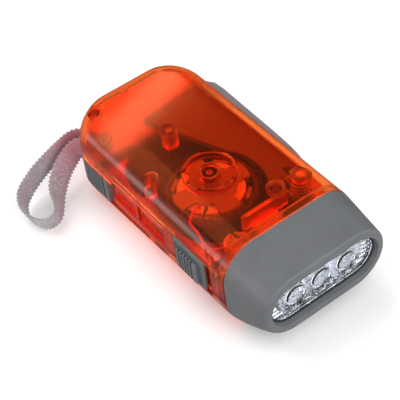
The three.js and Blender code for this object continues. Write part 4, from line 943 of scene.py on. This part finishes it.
def top_shell():
    rise = roof_z + wall / 2
    half = rib_width / 2
    ring = [
        (ring_inner, ring_rim_z), (ring_outer, ring_rim_z),
        (ring_outer, roof_z - boss_fillet), (ring_outer + boss_fillet, roof_z),
        (ring_outer + boss_fillet, rise), (ring_inner, rise),
    ]
    bosses = [
        hoop(ring, (*rotor_centre, 0)),
        boss(socket_radius, socket_rim_z, rotor_centre),
        boss(pin_ring_radius, pin_ring_rim_z, lever_pivot),
        boss(column_radius, column_rim_z, wheel_centre),
        *[boss(screw_neck_radius, parting_z, place, False) for place in screw_places],
        *[boss(screw_collar_radius, screw_collar_z, place) for place in screw_places],
        slab(span(rib_x, half), (rib_rear_y, rib_front_y), (rib_bottom_z, rise)),
        rod(half, rib_bottom_z, rise, rib_x, rib_rear_y),
        rod(half, rib_bottom_z, rise, rib_x, rib_front_y),
        boss(locator_radius, roof_z - locator_length, locator_place),
    ]
    holes = [rod(radius, 0, bore_top_z, *place) for place, radius in pin_bores]
    holes += screw_rods(screw_bore_radius, 0, screw_bore_z)
    holes += [roof_groove(*ejector_mark), roof_groove(*locator_mark)]
    inside = common(join(*bosses), hollow_form(wall / 2))
    return shell_half((parting_z, far), inside, holes)


def bottom_shell():
    sink = wall / 2
    cell_x, _, cell_z = cell_place
    rib_zs = (sink, cell_z - cell_radius / 2)
    ribs = [slab(span(cell_x, cell_radius), ys, rib_zs) for ys in cell_rib_ys]
    bed = turned([(cell_radius + fit_gap, y) for y in cell_ends], (cell_x, 0, cell_z), "y")
    bosses = [
        *[rod(radius, sink, top, *place) for place, radius, top in axle_posts],
        *screw_rods(screw_foot_radius, 0, screw_foot_z),
        *screw_rods(screw_neck_radius, 0, parting_z),
        rod(capacitor_radius, sink, capacitor_z[0] - fit_gap, *capacitor_place[:2]),
        cut(join(*ribs), bed),
        slab(switch_body[0], switch_stand_ys, (sink, switch_body[2][0] - fit_gap)),
    ]
    holes = [rod(radius, wall, parting_z + wall, *place) for place, radius in axle_bores]
    holes += screw_rods(screw_well_radius, -overrun, screw_well_z)
    holes += screw_rods(screw_bore_radius, 0, parting_z + overrun)
    inside = common(common(join(*bosses), casing_form(0)), slab(*everywhere, (-far, parting_z)))
    return shell_half((-far, parting_z), inside, holes)


def lined(shell):
    """The inner wall and the bosses are textured, apart from the polished window inside the ring boss."""
    form = hollow_form()
    wall_tree = BVHTree.FromPolygons(
        [point.co for point in form.data.vertices], [tuple(face.vertices) for face in form.data.polygons],
    )
    bpy.data.objects.remove(form)
    window = Vector(rotor_centre) * MM
    shell.data.materials.append(shell_lining)
    shell.data.materials.append(shell_bosses)
    for face in shell.data.polygons:
        spot, outward, _, off_wall = wall_tree.find_nearest(face.center)
        if (face.center.xy - window).length < (ring_outer + fit_gap) * MM:
            continue
        if off_wall < lining_tolerance * MM:
            face.material_index = 1
        elif (face.center - spot).dot(outward) < 0:
            face.material_index = 2


lined(stand_for(top_shell(), "top_shell", shell_plastic))
lined(stand_for(bottom_shell(), "bottom_shell", lower_plastic))


# Front cowl
def bezel():
    rings = [bezel_ring(0, joint_chamfer), bezel_ring(joint_chamfer / bezel_length, 0)]
    rings += [bezel_ring(step / bezel_steps, 0) for step in range(1, bezel_steps)]
    for turn in quarter_turns(rim_steps):
        share = 1 - rim_round * (1 - sin(turn)) / bezel_length
        rings.append(bezel_ring(share, rim_round * (1 - cos(turn))))
    hollow = [bezel_ring(share, wall) for share in bezel_hollow_shares]
    hollow.append(plain_ring(wall, joint_x - overrun))
    seat = stadium(open_half_width + lens_seat, open_half_height + lens_seat, seat_start_x, lens_front_x)
    mouth = stadium(open_half_width, open_half_height, lens_front_x - overrun, front_x + overrun, lip_flare)
    return smooth(cut(loft(rings), loft(hollow), seat, mouth))


stand_for(bezel(), "bezel", grey_plastic)


# Light unit: window, three bowls, three lamps and the board behind them
def beam_rod(radius, x0, x1, y, z=beam_z, sides=round_sides):
    return turned([(radius, x0), (radius, x1)], (0, y, z), "x", sides)


def lens():
    back_x = lens_front_x - lens_thickness
    middle_x = lens_front_x - lens_thickness / 2
    window = stadium(open_half_width - lens_gap, open_half_height - lens_gap, middle_x, lens_front_x)
    rim = stadium(*insert_size, back_x, middle_x + sliver)
    profile = [(optic_radius, middle_x), *dome(optic_radius, back_x, -optic_depth, optic_steps)]
    optics = [turned(profile, (0, y, beam_z), "x", led_sides) for y in led_ys]
    return smooth(join(rim, window, *optics))


def painted_shade_band():
    """A black band that lines the mouth in front of the window: painted shade for the shadowed gap between
    the window and the lip.
    """
    front = lens_front_x + shade_band_depth
    flare = lip_flare * shade_band_depth / (front_x + overrun - lens_front_x + overrun)
    ring = stadium(open_half_width + shade_band_bite, open_half_height + shade_band_bite, lens_front_x, front, flare)
    hole = stadium(
        open_half_width - shade_band_width, open_half_height - shade_band_width,
        lens_front_x - overrun, front + overrun, flare,
    )
    return smooth(cut(ring, hole))


def bowl(y):
    profile = [(bowl_radius * bowl_root, 0)]
    for step in range(1, bowl_steps + 1):
        profile.append((bowl_radius * sqrt(step / bowl_steps), bowl_depth * step / bowl_steps))
    profile.append((bowl_radius, bowl_depth + overrun))
    return turned(profile, (bowl_front_x - bowl_depth, y, beam_z), "x", bowl_sides)


def reflector():
    blank = stadium(*insert_size, bowl_rear_x, bowl_front_x)
    posts = [
        beam_rod(post_radius, board_front_x + fit_gap, bowl_rear_x + wall, y)
        for y in span(0, post_y)
    ]
    bowls = [bowl(y) for y in led_ys]
    seats = [
        beam_rod(led_hole_radius, bowl_rear_x - overrun, bowl_front_x - bowl_depth + wall, y)
        for y in led_ys
    ]
    flutes = []
    for side in (-1, 1):
        profile = [(flute_radius, side * y) for y in flute_ys[::side]]
        for row in range(flute_rows):
            z = beam_z + (row - flute_rows // 2) * flute_pitch
            flutes.append(turned(profile, (bowl_front_x, 0, z), "y", sides=20))
    return smooth(cut(join(blank, *posts), *bowls, *seats, *flutes))


def lamp(node, y):
    """A round lamp, the metal frame inside it, and its legs with their solder joints."""
    place = (board_front_x + led_lift, y, beam_z)
    profile = [*led_foot, *dome(led_radius, led_dome_start, led_radius, led_dome_steps), led_tip]
    stand_for(smooth(turned(profile, place, "x", led_sides)), node, led_epoxy)
    cup = turned(led_cup, (place[0], y + led_cup_shift, beam_z), "x", sides=24)
    post = slab(*moved(led_post, place), round_by=0.12)
    dress(smooth(join(cup, post)), node, zinc_steel, f"{node}_frame")
    joints = [
        turned(profile, (x, leg_y, beam_z), "x", sides)
        for profile, x, sides in ((led_leg, place[0], 12), (solder_blob, board_rear_x, 16))
        for leg_y in span(y, led_leg_shift)
    ]
    dress(smooth(join(*joints)), node, solder, f"{node}_joints")


def led_board():
    ys, zs = span(0, board_half_width), span(beam_z, board_half_height)
    board = slab((board_rear_x, board_front_x), ys, zs, round_by=0.15, segments=2)
    notches = [
        beam_rod(notch_radius, board_rear_x - overrun, board_front_x + overrun, y, notch_z, sides=24)
        for y in span(0, notch_y)
    ]
    return smooth(cut(board, *notches))


stand_for(lens(), "lens", lens_plastic)
# Black band round the window's mouth: painted shade of the gap between the window and the lip
dress(painted_shade_band(), "lens", chip_black, "painted_shade_band")
stand_for(reflector(), "reflector", bowl_chrome)
for i, y in enumerate(led_ys):
    lamp(f"led_{i + 1}", y)
stand_for(led_board(), "led_board", board_face)


# Parts on the board, and the switch body on the floor
def crossed_slots(x, y, reach, half_width, zs):
    return [
        slab(span(x, reach), span(y, half_width), zs),
        slab(span(x, half_width), span(y, reach), zs),
    ]


def rectifier():
    stand_for(smooth(slab(*bridge_box, round_by=0.25, segments=2)), "rectifier_bridge", chip_black)
    legs = [slab(*moved(bridge_leg, (0, y, 0)), round_by=0.1, segments=1) for y in bridge_leg_ys]
    dress(smooth(join(*legs)), "rectifier_bridge", solder, "rectifier_legs")


def rechargeable_cell():
    """A sleeve that shows its button cells, with a metal face at each end."""
    room = cell_ends[1] - cell_ends[0] - 2 * cell_inset
    profile = []
    for disc in range(cell_discs):
        start = cell_ends[0] + cell_inset + disc * room / cell_discs
        stop = start + room / cell_discs
        profile += [(cell_radius - sink, start + along) for sink, along in cell_disc_edge]
        profile += [(cell_radius - sink, stop - along) for sink, along in reversed(cell_disc_edge)]
    stand_for(smooth(turned(profile, cell_place, "y")), "rechargeable_cell", sleeve)
    for end, sign, name in ((cell_ends[0], -1, "cell_end_rear"), (cell_ends[1], 1, "cell_end_front")):
        face = [(radius, end - sign * sink) for radius, sink in cell_face]
        dress(smooth(turned(face, cell_place, "y")), "rechargeable_cell", zinc_steel, name)


def capacitor():
    bottom, top = capacitor_z
    can = barrel(capacitor_radius, bottom, top, capacitor_round)
    half = len(can) // 2
    crimp = [(capacitor_radius - sink, bottom + rise) for sink, rise in capacitor_crimp]
    can = can[:half] + crimp + can[half:]
    stand_for(smooth(turned(can, capacitor_place)), "capacitor", sleeve)
    lid = turned([(radius, top + rise) for radius, rise in capacitor_lid], capacitor_place)
    cross = crossed_slots(*capacitor_place[:2], *lid_cross, (top - lid_cross_depth, top + overrun))
    dress(smooth(cut(lid, *cross)), "capacitor", zinc_steel, "capacitor_lid")


def switch_unit():
    stand_for(smooth(slab(*switch_body, round_by=0.3, segments=2)), "switch_body", white_plastic)
    xs, ys, zs = switch_body
    grown = [(start - switch_frame_wall, stop + switch_frame_wall) for start, stop in switch_body]
    grown[1] = (ys[0] + switch_frame_step, grown[1][1])
    band = slab(*grown, round_by=0.2, segments=2)
    band = cut(band, slab(xs, (ys[0] - overrun, ys[1]), zs))
    dress(smooth(band), "switch_body", zinc_steel, "switch_frame")


rectifier()
rechargeable_cell()
capacitor()
switch_unit()


# Slide switch: a bordered plate with a grooved knob
def switch_slider():
    xs, ys, zs = switch_plate
    recess = slab(
        (xs[0] + switch_border, xs[1] - switch_border), (ys[0] - overrun, ys[0] + switch_recess),
        (zs[0] + switch_border, zs[1] - switch_top_border), round_by=0.15,
    )
    plate = cut(slab(xs, ys, zs, round_by=0.35), recess)
    knob = slab(*switch_knob, round_by=0.45)
    face = switch_knob[1][0]
    knob_bottom, knob_top = switch_knob[2]
    grooves = [
        slab(
            (x, x + switch_groove_width), (face - overrun, face + switch_groove_depth),
            (knob_bottom - overrun, knob_top + overrun), round_by=0.12, segments=1,
        )
        for x in switch_groove_xs
    ]
    return smooth(join(plate, cut(knob, *grooves), slab(*switch_stem)))


stand_for(switch_slider(), "switch_slider", grey_plastic)


# Lock latch: its plate follows the rear corner, its bar reaches the lever
def lock_latch():
    window = slab(*latch_plate, round_by=0.4)
    plate = common(cut(casing_form(-latch_proud, joint_x), hollow_form()), window)
    grooves = [slab(latch_stop, (-outside_y, -side_y + latch_stop_depth), latch_groove_zs, round_by=0.2)]
    for x in latch_groove_xs:
        away = max(0, rear_x + rear_corner_radius - x)
        sink = rear_corner_radius - sqrt(rear_corner_radius ** 2 - away ** 2)
        depth = latch_groove_depth - latch_proud + sink
        ys = (-outside_y, -side_y + depth)
        grooves.append(slab((x, x + latch_groove_width), ys, latch_groove_zs, round_by=0.1, segments=1))
    bar = common(solid_of("lock_latch"), slab(*latch_bar_room))
    return smooth(join(cut(plate, *grooves), bar))


stand_for(lock_latch(), "lock_latch", grey_plastic)


# Lever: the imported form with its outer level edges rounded
def lever():
    piece = solid_of("lever")

    def is_outer(edge):
        if not edge.is_manifold or edge.calc_face_angle(0) < radians(lever_edge_degrees):
            return False
        level = abs(edge.verts[0].co.z - edge.verts[1].co.z) < 0.01 * MM
        return level and all(vertex.co.y > lever_edge_y * MM for vertex in edge.verts)

    with reshaping(piece) as shape:
        bmesh.ops.bevel(
            shape, geom=[edge for edge in shape.edges if is_outer(edge)], offset=lever_edge_round * MM,
            segments=lever_edge_steps, profile=0.5, affect="EDGES", clamp_overlap=True,
        )
    return smooth(piece)


stand_for(lever(), "lever", lever_plastic)

# Gears, flywheel and generator
for node, material in (
    ("drive_wheel", black_plastic), ("flywheel", black_plastic), ("magnet_ring", ferrite),
    ("ratchet_pinion", white_plastic), ("idler_gear", white_plastic),
    ("upper_claw_plate", plated_steel), ("lower_claw_plate", plated_steel), ("coil_bobbin", white_plastic),
):
    stand_for(smooth(solid_of(node)), node, material)


def coil_winding():
    inner, outer = winding_radii
    bottom, top = winding_zs
    pitch = (top - bottom) / winding_turns
    profile = [(inner, bottom)]
    for turn in range(winding_turns):
        start = bottom + turn * pitch
        for share, sink in ((0, winding_groove), (0.5, 0), (1, winding_groove)):
            profile.append((outer - sink, start + pitch * share + sliver * (1 - 2 * share)))
    profile.append((inner, top))
    return smooth(hoop(profile, (*rotor_centre, 0), sides=96), sharp_degrees=60)


def rotor_bearing():
    inner, outer = bearing_radii
    bottom, top = bearing_zs
    edge, lip = bearing_outer_edge, bearing_inner_edge
    profile = [
        (inner, bottom), (outer - edge, bottom), (outer, bottom + edge), (outer, top - edge),
        (outer - edge, top), (inner + lip, top), (inner, top - lip),
    ]
    return smooth(hoop(profile, (*rotor_centre, 0)))


stand_for(coil_winding(), "coil_winding", copper)
stand_for(rotor_bearing(), "rotor_bearing", black_plastic)

# Rods with rounded ends
for node, (radius, start, stop, place) in rods.items():
    stand_for(smooth(turned(barrel(radius, start, stop, rod_round), (*place, 0))), node, zinc_steel)


# Wires and the spring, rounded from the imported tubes
def rounded_tube(node):
    piece = solid_of(node, flat_degrees=0)
    divide = piece.modifiers.new("round", "SUBSURF")
    divide.levels = 2
    divide.render_levels = 2
    settle(piece)
    piece.data.shade_smooth()
    return piece


for node, material in (("coil_lead_a", red_wire), ("coil_lead_b", black_wire), ("switch_lead", red_wire)):
    stand_for(rounded_tube(node), node, material)
spring = rounded_tube("lever_spring")
spring.name = "lever_spring_dressed"
spring.data.materials.clear()
spring.data.materials.append(zinc_steel)
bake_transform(spring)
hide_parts("lever_spring")


# Screws driven from below, with a cross recess
def screw(place):
    root, crest, end = thread_shape
    shank = []
    z = thread_zs[0]
    while z < thread_zs[1]:
        shank += [(radius, z + thread_pitch * share) for radius, share in (root, crest, end)]
        z += thread_pitch
    body = turned(screw_head + shank + screw_tip, (*place, 0), sides=32)
    return smooth(cut(body, *crossed_slots(*place, *screw_recess)))


for i, place in enumerate(screw_places):
    stand_for(screw(place), f"screw_{i + 1}", zinc_steel)


# Stage: a pale floor, a bright sky with a dark part where the roof mirrors it, and soft lamps
def add_stage():
    corners = [(x * floor_reach, y * floor_reach, floor_z) for x, y in ((-1, -1), (1, -1), (1, 1), (-1, 1))]
    floor = piece_from("floor", corners, [(0, 1, 2, 3)])
    surface = Surface("floor_paper", (0.93, 0.93, 0.93), 0.9)
    surface.vary_roughness(surface.noise(40, 3), 0.05)
    floor.data.materials.append(surface.material)
    floor.visible_glossy = False


def area_light(name, place, target, size, watts):
    lamp = bpy.data.lights.new(name, "AREA")
    lamp.shape = "RECTANGLE"
    lamp.size = size[0] * MM
    lamp.size_y = size[1] * MM
    lamp.energy = watts
    thing = bpy.data.objects.new(name, lamp)
    thing.location = Vector(place) * MM
    aim = (Vector(target) - Vector(place)).normalized()
    thing.rotation_euler = aim.to_track_quat("-Z", "Y").to_euler()
    thing.visible_glossy = False
    bpy.context.scene.collection.objects.link(thing)


def sky_patch(sky, place, direction, edge_degrees, core_degrees, outside, inside):
    """A value that runs from outside to inside round a direction of the sky."""
    vectors = {0: place, 1: Vector(direction).normalized()}
    aim = sky.node("VectorMath", vectors, operation="DOT_PRODUCT")
    edge, core = (cos(radians(degrees)) for degrees in (edge_degrees, core_degrees))
    return sky.spread(aim.outputs["Value"], outside, inside, edge, core, "SMOOTHSTEP")


def sky_strip(sky, place):
    """A light strip across the sky, between two values of its direction's x."""
    x = sky.part_of(place, "X")
    start, stop = strip_xs
    rise = sky.spread(x, 0.0, strip_strength, start - strip_blur, start, "SMOOTHSTEP")
    fall = sky.spread(x, 1.0, 0.0, stop, stop + strip_blur, "SMOOTHSTEP")
    return sky.combined("MULTIPLY", rise, fall)


def add_world():
    world = bpy.data.worlds.new("studio")
    bpy.context.scene.world = world
    world.use_nodes = True
    sky = NodeTree(world.node_tree)
    place = sky.node("TexCoord").outputs["Generated"]
    ground = sky_patch(sky, place, *dark_ground)
    light = sky.combined("MULTIPLY", sky_patch(sky, place, *dark_sky), ground)
    strip = sky.combined("MULTIPLY", sky_strip(sky, place), sky_patch(sky, place, *strip_end))
    strip = sky.combined("MULTIPLY", strip, ground)
    light = sky.combined("ADD", light, sky_patch(sky, place, *side_glow))
    backdrop = sky.spread(sky.node("LightPath").outputs["Is Camera Ray"], 0.0, backdrop_light, 0.0, 1.0)
    light = sky.combined("ADD", light, backdrop)
    warm = sky.node("VectorMath", {0: strip, 1: strip_color, 2: light}, operation="MULTIPLY_ADD")
    sky.link(warm.outputs["Vector"], sky.tree.nodes["Background"].inputs["Color"])
    bpy.context.scene.view_settings.view_transform = "Standard"


add_stage()
add_world()
for name, settings in studio_lamps.items():
    area_light(name, *settings)
